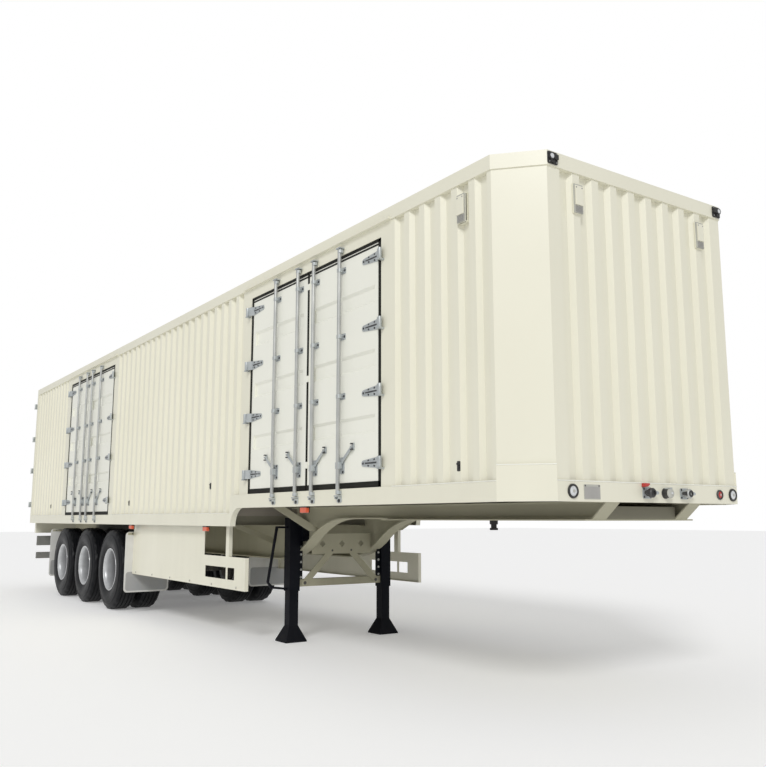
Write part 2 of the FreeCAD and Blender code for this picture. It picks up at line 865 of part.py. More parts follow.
def rod_places(edge, way, half):
    meeting = edge + way * half
    return [meeting - way * d.rod_from_meeting, meeting - way * (d.rod_from_meeting + d.rod_pitch)]


def rod_levels(bottom, top):
    return bottom - d.cam_height, top + d.cam_height


def door_gear(name, wall, edge, way, half, bottom, top):
    """Four hinge straps with their barrels, and two lock rods with guides, a hub plate and a lever each."""
    axis = hinge_place(wall, edge, way)
    face = -d.leaf_inset
    rod_flat = d.rod_radius * math.cos(math.pi / rod_sides)
    half_turn_share = 180 / rod_sides
    items = []
    for index, level in enumerate(hinge_levels(bottom, top)):
        low = level - d.blade_height / 2
        centre = wall.spots(axis, d.hinge_proud)
        barrel = prism(f"{name}_barrel_{index}", 6, d.hinge_radius, (*centre, low), d.blade_height)
        start = edge + way * d.leaf_gap
        near = start + way * d.leaf_stile / 2
        far = edge + way * d.blade_length
        back, out = face, face + d.blade_thickness
        lifted, proud = d.hinge_proud - d.blade_thickness, d.hinge_proud
        shape = [
            wall.spots(axis, lifted), wall.spots(start, lifted), wall.spots(near, back),
            wall.spots(near, out), wall.spots(start, proud), wall.spots(axis, proud),
        ]
        neck = pad(f"{name}_neck_{index}", "XY", [shape], low, d.blade_height)
        taper = d.blade_height * blade_taper_share
        high = low + d.blade_height
        outline = [(near, low), (far, low + taper), (far, high - taper), (near, high)]
        blade = pad(f"{name}_blade_{index}", wall.plane_face, [outline], wall.across(out), d.blade_thickness)
        items.append(fuse(f"{name}_hinge_{index}", [barrel, neck, blade]))
    low, high = rod_levels(bottom, top)
    for index, along in enumerate(rod_places(edge, way, half)):
        out = face + d.rod_stand_off
        centre = wall.spots(along, out)
        twist = 0 if wall is RightSide else half_turn_share
        items.append(prism(f"{name}_rod_{index}", rod_sides, d.rod_radius, (*centre, low), high - low, "z", twist))
        width = d.rod_radius * 2
        for number, share in enumerate(guide_height_shares):
            middle = bottom + share * (top - bottom)
            x = (along - width, along + width)
            z = (middle - d.rod_radius, middle + d.rod_radius)
            items.append(wall_box(wall, f"{name}_guide_{index}_{number}", x, (face, out - rod_flat), z))
        level = hinge_levels(bottom, top)[0]
        grip = out - rod_flat
        hub = (along - 3 * d.rod_radius, along + 3 * d.rod_radius)
        z = (level - d.hub_plate_height / 2, level + d.hub_plate_height / 2)
        items.append(wall_box(wall, f"{name}_hub_{index}", hub, (face, grip - d.blade_thickness), z))
        far, rise, slim = along - way * d.handle_run, level + d.handle_rise, d.rod_radius
        lever = [(along, level - width), (along, level + width), (far, rise + slim), (far, rise - slim)]
        items.append(pad(f"{name}_lever_{index}", wall.plane_face, [lever], wall.across(grip), d.blade_thickness))
    return group(f"{name}_gear", items)


def door_lugs():
    """Fixed hinge lugs and cam keepers of the right side and the tail, with the left side's as mirrors."""
    right, rear = [], []
    for name, wall, edge, way, half, bottom, top in door_places():
        items = right if wall is RightSide else rear
        axis = hinge_place(wall, edge, way)
        for index, level in enumerate(hinge_levels(bottom, top)):
            under = level - d.blade_height / 2 - d.pin_gap
            reach = d.hinge_proud + d.hinge_radius
            inside = -d.wall_inset if wall is RightSide else as_size(0)
            along = (axis - d.hinge_radius, axis + d.hinge_radius)
            if wall is TailEnd:
                along = (axis - way * d.hinge_radius, edge - way * d.tail_post_width / 2)
            z = (under - d.keeper_thickness, under)
            items.append(wall_box(wall, f"{name}_lug_{index}", along, (inside, reach), z))
        low, high = rod_levels(bottom, top)
        for index, place in enumerate(rod_places(edge, way, half)):
            for end, z in (
                ("foot", (low - d.keeper_gap - d.keeper_thickness, low - d.keeper_gap)),
                ("head", (high + d.keeper_gap, high + d.keeper_gap + d.keeper_thickness)),
            ):
                along = (place - 2 * d.rod_radius, place + 2 * d.rod_radius)
                inside = -d.wall_inset if end == "head" and wall is RightSide else as_size(0)
                out = (inside, d.rod_stand_off - d.leaf_inset + d.rod_radius)
                items.append(wall_box(wall, f"{name}_keeper_{end}_{index}", along, out, z))
    sides = group("lugs_right", right)
    return group("door_lugs", [sides, mirrored("lugs_left", sides)] + rear)


# Running gear
tyre_sides = 20
rim_sides = 14
bulge_share = 0.55
tread_share = 0.8


def tyre_outline(centre):
    half, bead = d.tyre_width / 2, d.bead_width / 2
    bore, outside = d.tyre_bore_radius, d.tyre_radius
    wall = outside - bore
    one_side = [(bore, bead), (bore + bulge_share * wall, half), (outside, half * tread_share)]
    grow = 1 / math.cos(math.pi / tyre_sides)
    line = one_side + [(radius, -width) for radius, width in reversed(one_side)]
    return [(float(radius) * grow, float(centre + width)) for radius, width in line]


def tyre_pair(name, x, hand):
    """Twin tyres of one wheel set, each a ring in flat facets, standing on a flat one."""
    tyres = []
    for label, offset in (("outer", d.dual_spacing / 2), ("inner", -d.dual_spacing / 2)):
        line = tyre_outline(hand * (d.track_half + offset))
        phase = math.pi / 2 + math.pi / tyre_sides
        tyres.append(turned(f"{name}_{label}", line, tyre_sides, (x, 0, d.tyre_radius), (0, 1, 0), phase))
    return group(name, tyres)


def wheel_rims(name, x, hand):
    """Both rims of one wheel set with the hub and brake drum that carry them."""
    rim_edge = d.dual_spacing / 2 + d.bead_width / 2
    seat = d.tyre_bore_radius - d.bearing_gap
    disc = d.hub_reach / 3
    line = [
        (0, d.hub_reach), (d.hub_bore_radius, d.hub_reach), (d.hub_radius, d.hub_reach - d.rim_lip),
        (d.hub_radius, disc), (seat - 3 * d.rim_lip, disc), (seat - 2 * d.rim_lip, rim_edge - 3 * d.rim_lip),
        (d.rim_radius, rim_edge + 2 * d.rim_lip), (d.rim_radius, rim_edge + d.rim_lip), (seat, rim_edge),
        (seat, -rim_edge), (d.drum_radius, -rim_edge), (d.drum_radius, -d.drum_reach),
        (d.hub_bore_radius, -d.drum_reach), (d.hub_bore_radius, d.hub_reach - 3 * d.rim_lip),
        (0, d.hub_reach - 3 * d.rim_lip),
    ]
    line = [(radius, hand * (d.track_half + width)) for radius, width in line]
    return turned(name, line, rim_sides, (x, 0, d.tyre_radius), (0, 1, 0), math.pi / 2)


def axles():
    items = []
    for index, x in enumerate(axle_xs):
        half = d.axle_section / 2
        inner = d.track_half - d.drum_reach - d.keeper_gap
        beam_z = (d.tyre_radius - half, d.tyre_radius + half)
        beam = box(f"axle_beam_{index}", (x - half, x + half), (-inner, inner), beam_z)
        end = d.track_half + d.hub_reach - 3 * d.rim_lip - d.bearing_gap
        radius = d.hub_bore_radius * math.cos(math.pi / rim_sides) - d.bearing_gap
        spindle = prism(f"spindle_{index}", rim_sides // 2, radius, (x, -end, d.tyre_radius), 2 * end, "y")
        items.append(fuse(f"axle_{index}", [beam, spindle]))
    return group("axles", items)


leaf_length_shares = (0.45, 0.72, 1.0)


def leaf_level(number, along):
    """Height over the axle, at a distance along, of the arc under leaf number, counted from the shortest."""
    leaf = d.spring_thickness / len(leaf_length_shares)
    radius = d.spring_arch - number * leaf
    return d.spring_arch - root(radius * radius - along * along), radius


def leaf_springs():
    """Slipper springs over the axles: leaves of growing length, bowed up to a flat pad at each tip."""
    springs = []
    top = d.tyre_radius + d.axle_section / 2
    right = -d.beam_offset - d.spring_width / 2
    leaf = d.spring_thickness / len(leaf_length_shares)
    for index, x in enumerate(axle_xs):
        leaves = []
        for number, share in enumerate(leaf_length_shares):
            half = share * d.spring_half
            (low, under), (high, over) = leaf_level(number, half), leaf_level(number + 1, half)
            loop = [
                (x - half, top + low, under), (x + half, top + low), (x + half, top + high, -over),
                (x - half, top + high),
            ]
            leaves.append(pad(f"leaf_{index}_{number}", "XZ", [loop], right, d.spring_width))
        seat = box(
            f"spring_seat_{index}", (x - d.axle_section / 2, x + d.axle_section / 2),
            (right, right + d.spring_width), (top, top + leaf),
        )
        tip = spring_tip()
        for end in (-1, 1):
            ends = (x + end * (d.spring_half - 2 * leaf), x + end * d.spring_half)
            leaves.append(box(f"tip_{index}_{end + 1}", ends, (right, right + d.spring_width), (tip - leaf, tip)))
        springs.append(fuse(f"spring_{index}", leaves + [seat]))
    return both_sides("leaf_springs", group("springs_right", springs))


def spring_tip():
    """The height of the springs' tips, where they bear on the hangers."""
    return d.tyre_radius + d.axle_section / 2 + leaf_level(len(leaf_length_shares), d.spring_half)[0]


hanger_foot_share, hanger_head_share = 1 / 6, 1 / 3


def suspension_hangers():
    """Tapered brackets under the beams, before, between and behind the springs."""
    hangers = []
    half = d.axle_spacing / 2
    for index, x in enumerate([axle_xs[0] + half, axle_xs[0] - half, axle_xs[1] - half, axle_xs[2] - half]):
        slim, wide = half * hanger_foot_share, half * hanger_head_share
        low, top = spring_tip(), d.beam_bottom
        loop = [(x - slim, low), (x + slim, low), (x + wide, top), (x - wide, top)]
        right = -d.beam_offset - d.hanger_thickness / 2
        hangers.append(pad(f"hanger_{index}", "XZ", [loop], right, d.hanger_thickness))
    return both_sides("suspension_hangers", group("hangers_right", hangers))


def brake_chambers():
    items = []
    for index, x in enumerate(axle_xs):
        base = (x + d.axle_section / 2, -d.beam_offset + d.axle_section, d.tyre_radius)
        items.append(prism(f"chamber_{index}", 8, d.chamber_radius, base, d.axle_section, "x"))
    return both_sides("brake_chambers", group("chambers_right", items))


tank_place_shares = (0.4, 0.6)


def air_tanks():
    """Two tanks across the frame, between the step of the floor and the first axle."""
    items = []
    for index, share in enumerate(tank_place_shares):
        x = floor_rise_x + (axle_xs[0] - floor_rise_x) * share
        reach = d.beam_offset - d.beam_web / 2
        low = d.beam_bottom + d.beam_flange + d.tank_radius
        items.append(prism(f"tank_{index}", 12, d.tank_radius, (x, -reach, low), 2 * reach, "y"))
    return group("air_tanks", items)


# Legs
def landing_legs():
    """Each leg: the outer tube under the floor, the slide that comes out of it, and the foot. The
    winding handle is on the right leg."""
    half, slide = d.leg_tube / 2, d.leg_slide / 2
    y = -d.leg_offset
    tube_z, slide_z = (d.leg_tube_bottom, d.leg_top), (d.foot_height, d.leg_tube_bottom)
    tube = box("leg_tube_right", (leg_x - half, leg_x + half), (y - half, y + half), tube_z)
    inner = box("leg_slide_right", (leg_x - slide, leg_x + slide), (y - slide, y + slide), slide_z)
    wide, slim = d.foot_width / 2 * math.sqrt(2), slide * math.sqrt(2)
    line = [(0, 0), (wide, 0), (wide, d.foot_plate), (slim, d.foot_height), (0, d.foot_height)]
    foot = turned("leg_foot_right", line, 4, (leg_x, y, 0), (0, 0, 1), math.pi / 4)
    bracket = box(
        "leg_bracket_right", (leg_x - d.leg_tube, leg_x + d.leg_tube), (y + half, -d.beam_offset - d.beam_web / 2),
        (d.leg_top - 2 * d.leg_tube, d.leg_top - d.leg_slide / 2),
    )
    leg = fuse("leg_common", [tube, inner, foot, bracket])
    return group("landing_legs", [fuse("leg_right", [leg, crank()]), mirrored("leg_left", leg)])


def crank():
    """The folded winding handle: out from the right leg's tube, down and back to the tube."""
    back = -d.leg_offset - d.leg_tube / 2
    far = back - d.crank_reach
    knee = far - d.crank_lean
    bar, top, low = d.crank_bar, d.crank_top, d.crank_low
    loop = [
        (back, top), (far, top), (knee, low), (knee + 2 * bar, low - 3 * bar), (back, low - 4 * bar),
        (back, low - 3 * bar), (knee + 3 * bar, low - 2 * bar), (knee + bar, low), (far + bar, top - bar),
        (back, top - bar),
    ]
    return pad("crank", "YZ", [loop], leg_x - bar / 2, bar)


def leg_bracing():
    """The cross tube, the holed plate between the beams, the V stays and the outriggers."""
    half = d.cross_tube_section / 2
    inner = d.leg_offset - d.leg_tube / 2
    level = (d.cross_tube_level - half, d.cross_tube_level + half)
    tube = box("leg_cross_tube", (leg_x - half, leg_x + half), (-inner, inner), level)
    face = leg_x + half
    plate_x = face + d.stay_thickness
    reach = d.beam_offset - d.beam_flange_width / 2
    middle = (d.brace_plate_low + d.brace_plate_high) / 2
    plate_loops = [rectangle((-reach, reach), (d.brace_plate_low, d.brace_plate_high))]
    for step in (-1, 0, 1):
        y, h = step * d.diamond_pitch, d.diamond_half
        plate_loops.append([(y - h, middle), (y, middle - h), (y + h, middle), (y, middle + h)])
    plate = pad("brace_plate", "YZ", plate_loops, plate_x, d.stay_thickness)
    foot = (-inner + d.stay_width, d.cross_tube_level)
    rise = d.brace_plate_low + d.stay_width / 2 - foot[1]
    head = (foot[0] + rise, foot[1] + rise)
    s = d.stay_width / 2 * math.sqrt(1 / 2)
    stay_loop = [
        (foot[0] - s, foot[1] + s), (foot[0] + s, foot[1] - s),
        (head[0] + s, head[1] - s), (head[0] - s, head[1] + s),
    ]
    stay = pad("v_stay", "YZ", [stay_loop], face, d.stay_thickness)
    return group("leg_bracing", [tube, plate, both_sides("v_stays", stay), outriggers()])


outrigger_rows = (9, 1)


def outriggers():
    """Flat bars across, from a cross member's underside down and inwards to each beam: one where the
    beam's neck bends, one behind the step of the floor."""
    bars = []
    web = -d.beam_offset - d.beam_web / 2
    for (name, first, last, floor), row in zip(member_rows(), outrigger_rows):
        top = floor - d.deck_thickness - d.member_height
        x = first - row * d.member_pitch - d.member_width / 2
        over = d.outrigger_reach - d.outrigger_cut
        if row == outrigger_rows[0]:
            low = flange_top(x + d.stay_thickness)
            foot = [(web, low + d.stay_thickness), (web, low), (web - 2 * d.stay_width, low)]
        else:
            low = top - d.outrigger_drop
            foot = [(web, low), (web, low - d.stay_width)]
        loop = [(-d.outrigger_reach, top), (-over, top)] + foot
        bars.append(pad(f"outrigger_{name}", "YZ", [loop], x, d.stay_thickness))
    return both_sides("outriggers", group("outriggers_right", bars))


# Guards, flaps and tail bars
window_along_shares = ((0.245, 0.41), (0.445, 0.965))
window_height_shares = (0.29, 0.66)
guard_post_share = 0.42


def side_guards():
    """A sheet skirt with a low front part that has two windows, lipped inwards all round."""
    start, middle, end = front - d.guard_front_back, front - d.guard_panel_back, front_flap_x
    low, step, high = d.guard_bottom, d.guard_low_top, beam_top_tail
    outline = [(end, low), (start, low), (start, step), (middle, step), (middle, high), (end, high)]
    window = [low + (step - low) * share for share in window_height_shares]
    holes = [
        rectangle([start - (start - middle) * share for share in shares], window) for shares in window_along_shares
    ]
    sheet_part = pad("guard_skirt", "XZ", [outline] + holes, -d.guard_offset, d.guard_sheet)
    y = (-d.guard_offset, -d.guard_offset + d.guard_lip)
    lips = [
        box("guard_low_lip", (end, start), y, (low, low + d.guard_sheet)),
        box("guard_top_lip", (end, middle), y, (high - d.guard_sheet, high)),
        box("guard_front_lip", (start - d.guard_sheet, start), y, (low, step)),
        box("guard_end_lip", (end, end + d.guard_sheet), y, (low, high)),
    ]
    post_x = start - (start - middle) * guard_post_share
    post = box("guard_post", (post_x - d.guard_lip, post_x + d.guard_lip), y, (step, high))
    return both_sides("side_guards", fuse("guard_right", [sheet_part, post] + lips))


def mudflaps():
    items = []
    for label, x in (("front", front_flap_x), ("tail", tail_flap_x)):
        y = (-side, -side + d.flap_width)
        back = x - d.flap_thickness
        items.append(box(f"{label}_flap", (back, x), y, (d.flap_bottom, d.flap_top)))
        arm_x = (back - d.flap_arm, back)
        arm_y = (-side + d.flap_arm, -d.beam_offset - d.beam_web / 2)
        items.append(box(f"{label}_flap_arm", arm_x, arm_y, (d.flap_top - d.flap_arm, d.flap_top)))
    return both_sides("mudflaps", group("mudflaps_right", items))


def underrun_guard():
    """The two tail bars: the upper one closes the beams' ends, the lower one hangs on posts."""
    x = (tail + d.bar_ahead, beam_end_x)
    y = (-d.bar_half_width, d.bar_half_width)
    upper = box("upper_bar", x, y, (d.upper_bar_bottom, d.upper_bar_top))
    lower = box("lower_bar", x, y, (d.lower_bar_bottom, d.lower_bar_top))
    post_x = (beam_end_x, beam_end_x + d.bar_depth)
    post_y = (-d.beam_offset - d.bar_depth / 2, -d.beam_offset + d.bar_depth / 2)
    post = box("bar_post_right", post_x, post_y, (d.lower_bar_bottom, d.beam_bottom))
    return group("underrun_guard", [upper, lower, post, mirrored("bar_post_left", post)])


# Small fittings
coupling_shares = (-0.079, 0.084, 0.256)


def front_couplings():
    items = []
    level = front_rail_bottom + d.rail_height / 2
    for index, share in enumerate(coupling_shares):
        base = (front, share * side, level)
        items.append(prism(f"coupling_{index}", 8, d.rail_height / 4, base, d.rail_height / 2, "x"))
    return group("front_couplings", items)


lamp_back_shares = (0.2115, 0.375, 0.562)


def lamps():
    """Side lamps under the rails, a lamp at each end of the front's top rail, and the tail lamps."""
    items = []
    for index, share in enumerate(lamp_back_shares):
        x = front - share * d.body_length
        low = front_rail_bottom if float(x) > float(floor_rise_x) else d.tail_rail_bottom
        reach = d.rail_lip
        y = (-side, -side + reach / 2)
        items.append(box(f"side_lamp_{index}", (x - reach, x + reach), y, (low - reach, low)))
    y = (-d.top_lamp_offset - d.top_lamp_half, -d.top_lamp_offset + d.top_lamp_half)
    z = (top_rail_bottom + d.top_lamp_margin, d.roof_height - d.top_lamp_margin)
    items.append(box("top_lamp", (front, front + d.lamp_proud), y, z))
    level = tail_rail_top - d.rail_height / 2
    y = (-side + d.tail_post_width, -side + 5 * d.tail_post_width)
    z = (level - d.rail_lip / 2, level + d.rail_lip / 2)
    items.append(box("tail_lamp", (tail - d.lamp_proud, tail), y, z))
    return both_sides("lamps", group("lamps_right", items))


duct_share = 0.8


def wave_places(start, stop, phase):
    """Middles of the wall's waves between two ends: phase 0 for the ridges, a half for the recesses."""
    start, stop, pitch = float(start), float(stop), float(d.wave_pitch)
    count = max(1, int(abs(stop - start) / pitch + 1e-6))
    way = math.copysign(pitch, stop - start)
    first = (start + stop) / 2 - way * count / 2
    return [first + way * (index + phase) for index in range(1, count)]


def nearest(places, wanted):
    return min(places, key=lambda place: abs(place - float(wanted)))


def vent_covers():
    """Narrow ventilator covers high at the front end: one over a recess of each side, with its duct
    behind, and two on ridges of the front wall."""
    half = d.vent_width / 2
    top = top_rail_bottom - d.vent_drop
    z = (top - d.vent_height, top)
    _, begin, end = side_bays()[0]
    x = as_size(nearest(wave_places(begin, end, 1 / 2), front - d.vent_back))
    cover = box("side_vent", (x - half, x + half), (-wall_face, -side), z)
    inside = d.wave_pitch * crest_share * duct_share / 2
    recess = -wall_face + d.wave_depth
    duct = box("side_vent_duct", (x - inside, x + inside), (recess, -wall_face), z)
    reach = cut_corner(d.wall_inset)[1][1]
    y = as_size(nearest(wave_places(-reach, reach, 0), -d.vent_offset))
    front_cover = box("front_vent", (front - d.wall_inset, front), (y - half, y + half), z)
    covers = group("vents_right", [fuse("side_vent_box", [cover, duct]), front_cover])
    return both_sides("vent_covers", covers)


nodes = {}


def keep(name, item):
    item.Label = name
    nodes[name] = item


for name, maker in (
    ("main_beams", main_beams), ("cross_members", cross_members), ("coupler_plate", coupler_plate),
    ("floor_deck", floor_deck), ("bottom_rails", bottom_rails),
    ("front_wall", front_wall), ("corner_panels", corner_panels), ("top_rails", top_rails),
    ("roof_sheet", roof_sheet), ("tail_frame", tail_frame), ("doorway_frames", doorway_frames),
    ("door_lugs", door_lugs), ("axles", axles), ("leaf_springs", leaf_springs),
    ("suspension_hangers", suspension_hangers), ("brake_chambers", brake_chambers), ("air_tanks", air_tanks),
    ("landing_legs", landing_legs), ("leg_bracing", leg_bracing), ("side_guards", side_guards),
    ("mudflaps", mudflaps), ("underrun_guard", underrun_guard), ("front_couplings", front_couplings),
    ("lamps", lamps), ("vent_covers", vent_covers),
):
    keep(name, maker())

for name, hand in (("side_wall_right", -1), ("side_wall_left", 1)):
    keep(name, side_wall(name, hand))

for name, wall, edge, way, half, bottom, top in door_places():
    leaf = door_leaf(f"{name}_leaf", wall, edge, way, half, bottom, top)
    gear = door_gear(name, wall, edge, way, half, bottom, top)
    keep(f"door_{name}", leaf)
    keep(f"gear_{name}", gear)
    if wall is RightSide:
        twin = name.replace("right", "left")
        keep(f"door_{twin}", mirrored(f"{twin}_leaf", leaf))
        keep(f"gear_{twin}", mirrored(f"{twin}_gear", gear))

for number, x in enumerate(axle_xs, start=1):
    for label, hand in (("right", -1), ("left", 1)):
        keep(f"tyres_{label}_{number}", tyre_pair(f"tyre_set_{label}_{number}", x, hand))
        keep(f"wheel_{label}_{number}", wheel_rims(f"wheel_set_{label}_{number}", x, hand))

doc.recompute()

broken = [item.Name for item in doc.Objects if {"Invalid", "Error"} & set(item.State)]
broken += [name for name, item in nodes.items() if item.Shape.isNull() or not item.Shape.isValid()]
if broken:
    raise RuntimeError(f"these objects failed: {broken}")

os.makedirs("parts", exist_ok=True)
for name, item in nodes.items():
    item.Shape.exportStep(f"parts/{name}.step")
print(f"{len(nodes)} pieces written")
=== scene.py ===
# Box semi-trailer: looks, small parts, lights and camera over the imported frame.
# Metres, +X forward, +Y left, +Z up.
import json
import math
import bpy
from mathutils import Matrix, Vector


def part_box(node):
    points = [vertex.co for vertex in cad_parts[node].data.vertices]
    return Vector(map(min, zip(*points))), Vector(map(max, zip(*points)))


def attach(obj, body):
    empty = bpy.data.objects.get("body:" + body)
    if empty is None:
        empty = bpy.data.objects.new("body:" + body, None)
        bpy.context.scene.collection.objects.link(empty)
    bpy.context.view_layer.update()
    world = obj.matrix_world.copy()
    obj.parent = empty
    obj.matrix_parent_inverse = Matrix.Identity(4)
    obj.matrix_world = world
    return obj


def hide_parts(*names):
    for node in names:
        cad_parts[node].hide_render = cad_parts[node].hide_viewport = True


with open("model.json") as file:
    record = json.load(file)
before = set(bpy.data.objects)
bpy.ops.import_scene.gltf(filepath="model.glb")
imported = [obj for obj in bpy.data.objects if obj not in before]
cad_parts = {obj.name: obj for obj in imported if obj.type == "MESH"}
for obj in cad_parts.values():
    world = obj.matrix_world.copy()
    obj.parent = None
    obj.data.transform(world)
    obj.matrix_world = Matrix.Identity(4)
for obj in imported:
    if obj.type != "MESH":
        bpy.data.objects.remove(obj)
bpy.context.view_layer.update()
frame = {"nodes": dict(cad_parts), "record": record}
nodes = frame["nodes"]
joints = {joint["name"]: joint for joint in frame["record"]["behaviour"]["joints"]}
leafNames = [name[len("door_"):] for name in sorted(nodes) if name.startswith("door_") and name != "door_lugs"]
wheelNames = [name[len("tyres_"):] for name in sorted(nodes) if name.startswith("tyres_")]
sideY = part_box("top_rails")[1].y  # the body's side
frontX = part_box("bottom_rails")[1].x
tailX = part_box("tail_frame")[0].x
print("frame loaded", len(nodes), "nodes")


def deselectAll():
    if bpy.context.object and bpy.context.object.mode != "OBJECT":
        bpy.ops.object.mode_set(mode="OBJECT")
    bpy.ops.object.select_all(action="DESELECT")


def pick(piece):
    deselectAll()
    piece.select_set(True)
    bpy.context.view_layer.objects.active = piece


def settle(piece):  # place, turn and size go into the mesh
    pick(piece)
    bpy.ops.object.transform_apply(location=True, rotation=True, scale=True)
    return piece


def bevelEdges(piece, width, segments=2, angle=30):
    pick(piece)
    bevel = piece.modifiers.new("bevel", "BEVEL")
    bevel.width, bevel.segments, bevel.angle_limit = width, segments, math.radians(angle)
    bpy.ops.object.modifier_apply(modifier=bevel.name)
    return piece


def addBlock(low, high, bevel=0.0):
    deselectAll()
    low, high = Vector(low), Vector(high)
    bpy.ops.mesh.primitive_cube_add(size=1, location=(low + high) / 2)
    piece = bpy.context.object
    piece.scale = [abs(size) for size in high - low]
    settle(piece)
    return bevelEdges(piece, bevel) if bevel else piece


def addRod(start, end, radius, sides=16, bevel=0.0):
    deselectAll()
    start, end = Vector(start), Vector(end)
    way = end - start
    bpy.ops.mesh.primitive_cylinder_add(
        vertices=sides, radius=radius, depth=way.length, location=(start + end) / 2,
        rotation=way.to_track_quat("Z", "Y").to_euler(),
    )
    piece = settle(bpy.context.object)
    if bevel:
        bevelEdges(piece, bevel, 2, 50)
    return smoothEdges(piece)


def addBar(start, end, width, thick, face, bevel=0.0):  # a flat bar whose flat lies along face
    deselectAll()
    start, end, face = Vector(start), Vector(end), Vector(face)
    way = end - start
    bpy.ops.mesh.primitive_cube_add(size=1)
    piece = bpy.context.object
    piece.scale = (width, thick, way.length)
    settle(piece)
    along = way.normalized()
    flat = (face - along * face.dot(along)).normalized()
    turn = Matrix((flat.cross(along), flat, along)).transposed()
    piece.data.transform(Matrix.Translation((start + end) / 2) @ turn.to_4x4())
    return bevelEdges(piece, bevel) if bevel else piece


def editMesh(name, points, edges, faces):  # a new mesh, in edit mode with all of it selected
    deselectAll()
    mesh = bpy.data.meshes.new(name)
    mesh.from_pydata(points, edges, faces)
    piece = bpy.data.objects.new(name, mesh)
    bpy.context.collection.objects.link(piece)
    pick(piece)
    bpy.ops.object.mode_set(mode="EDIT")
    bpy.ops.mesh.select_all(action="SELECT")
    return piece


def closeMesh():  # normals outwards, back to object mode
    bpy.ops.mesh.select_all(action="SELECT")
    bpy.ops.mesh.normals_make_consistent(inside=False)
    bpy.ops.object.mode_set(mode="OBJECT")


def addSpun(outline, steps):  # (radius, along) points about the Y axis, left open where they start on it
    count = len(outline)
    edges = [(index, (index + 1) % count) for index in range(count if outline[0][0] > 0 else count - 1)]
    piece = editMesh("spun", [(radius, along, 0) for radius, along in outline], edges, [])
    bpy.ops.mesh.spin(steps=steps, angle=2 * math.pi, center=(0, 0, 0), axis=(0, 1, 0))
    bpy.ops.mesh.select_all(action="SELECT")
    bpy.ops.mesh.remove_doubles(threshold=1e-5)
    closeMesh()
    return piece


def addSheet(outline, place, thick, bevel=0.0):  # a flat outline, put by place(a, b, out)
    piece = editMesh("sheet", [place(a, b, 0) for a, b in outline], [], [list(range(len(outline)))])
    way = Vector(place(0, 0, thick)) - Vector(place(0, 0, 0))
    bpy.ops.mesh.extrude_region_move(TRANSFORM_OT_translate={"value": way})
    closeMesh()
    return bevelEdges(piece, bevel) if bevel else piece


def smoothEdges(piece, angle=40):
    pick(piece)
    bpy.ops.object.shade_smooth_by_angle(angle=math.radians(angle))
    return piece


def copyPiece(master, matrix, name="copy"):
    piece = master.copy()
    piece.data = master.data.copy()
    piece.name = piece.data.name = name
    bpy.context.collection.objects.link(piece)
    piece.data.transform(matrix)
    if matrix.determinant() < 0:
        piece.data.flip_normals()
    return piece


def drop(piece):
    bpy.data.objects.remove(piece)


def join(name, parts):
    deselectAll()
    for part in parts:
        part.select_set(True)
    bpy.context.view_layer.objects.active = parts[0]
    if len(parts) > 1:
        bpy.ops.object.join()
    piece = bpy.context.object
    piece.name = piece.data.name = name
    return piece


def paint(piece, material):
    piece.data.materials.clear()
    piece.data.materials.append(material)
    return piece


def painted(material, *pieces):
    return [paint(piece, material) for piece in pieces]


def mount(piece, body, slot, *replaced):
    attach(piece, body)
    if replaced:
        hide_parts(*replaced)
    return piece


def addNode(tree, kind, **settings):
    node = tree.nodes.new(kind)
    for name, value in settings.items():
        setattr(node, name, value)
    return node


def feed(tree, socket, value):  # a link from another node, or a plain value
    if isinstance(value, bpy.types.NodeSocket):
        tree.links.new(value, socket)
    else:
        socket.default_value = value


def setInputs(node, **values):  # a label's spaces are written as underscores
    for label, value in values.items():
        node.inputs[label.replace("_", " ")].default_value = value


def newGroup(name, ins, outs):  # a tuple makes a colour socket
    group = bpy.data.node_groups.new(name, "ShaderNodeTree")
    for label, value in ins.items():
        kind = "NodeSocketColor" if isinstance(value, tuple) else "NodeSocketFloat"
        group.interface.new_socket(name=label, in_out="INPUT", socket_type=kind).default_value = value
    for label in outs:
        kind = "NodeSocketColor" if label == "Color" else "NodeSocketFloat"
        group.interface.new_socket(name=label, in_out="OUTPUT", socket_type=kind)
    return group, group.nodes.new("NodeGroupInput"), group.nodes.new("NodeGroupOutput")


def mathNode(tree, operation, one, other, clamp=False):
    node = addNode(tree, "ShaderNodeMath", operation=operation, use_clamp=clamp)
    feed(tree, node.inputs[0], one)
    feed(tree, node.inputs[1], other)
    return node.outputs[0]


def mixColor(tree, factor, one, other):
    node = addNode(tree, "ShaderNodeMix", data_type="RGBA")
    for index, value in ((0, factor), (6, one), (7, other)):  # 6 and 7 are its two colours
        feed(tree, node.inputs[index], value)
    return node.outputs[2]


def axesNode(tree):  # X, Y and Z in the piece's own frame
    coordinates = addNode(tree, "ShaderNodeTexCoord")
    split = addNode(tree, "ShaderNodeSeparateXYZ")
    tree.links.new(coordinates.outputs["Object"], split.inputs[0])
    return split.outputs


def noiseNode(tree, scale, detail=3.0, stretch=(1, 1, 1)):
    coordinates = addNode(tree, "ShaderNodeTexCoord")
    mapping = addNode(tree, "ShaderNodeMapping")
    mapping.inputs["Scale"].default_value = stretch
    noise = addNode(tree, "ShaderNodeTexNoise")
    feed(tree, noise.inputs["Scale"], scale)
    noise.inputs["Detail"].default_value = detail
    tree.links.new(coordinates.outputs["Object"], mapping.inputs["Vector"])
    tree.links.new(mapping.outputs["Vector"], noise.inputs["Vector"])
    return noise.outputs["Fac"]


def rangeNode(tree, value, low, high, toLow=0.0, toHigh=1.0):
    node = addNode(tree, "ShaderNodeMapRange", clamp=True)
    labels = ("Value", "From Min", "From Max", "To Min", "To Max")
    for label, number in zip(labels, (value, low, high, toLow, toHigh)):
        feed(tree, node.inputs[label], number)
    return node.outputs["Result"]


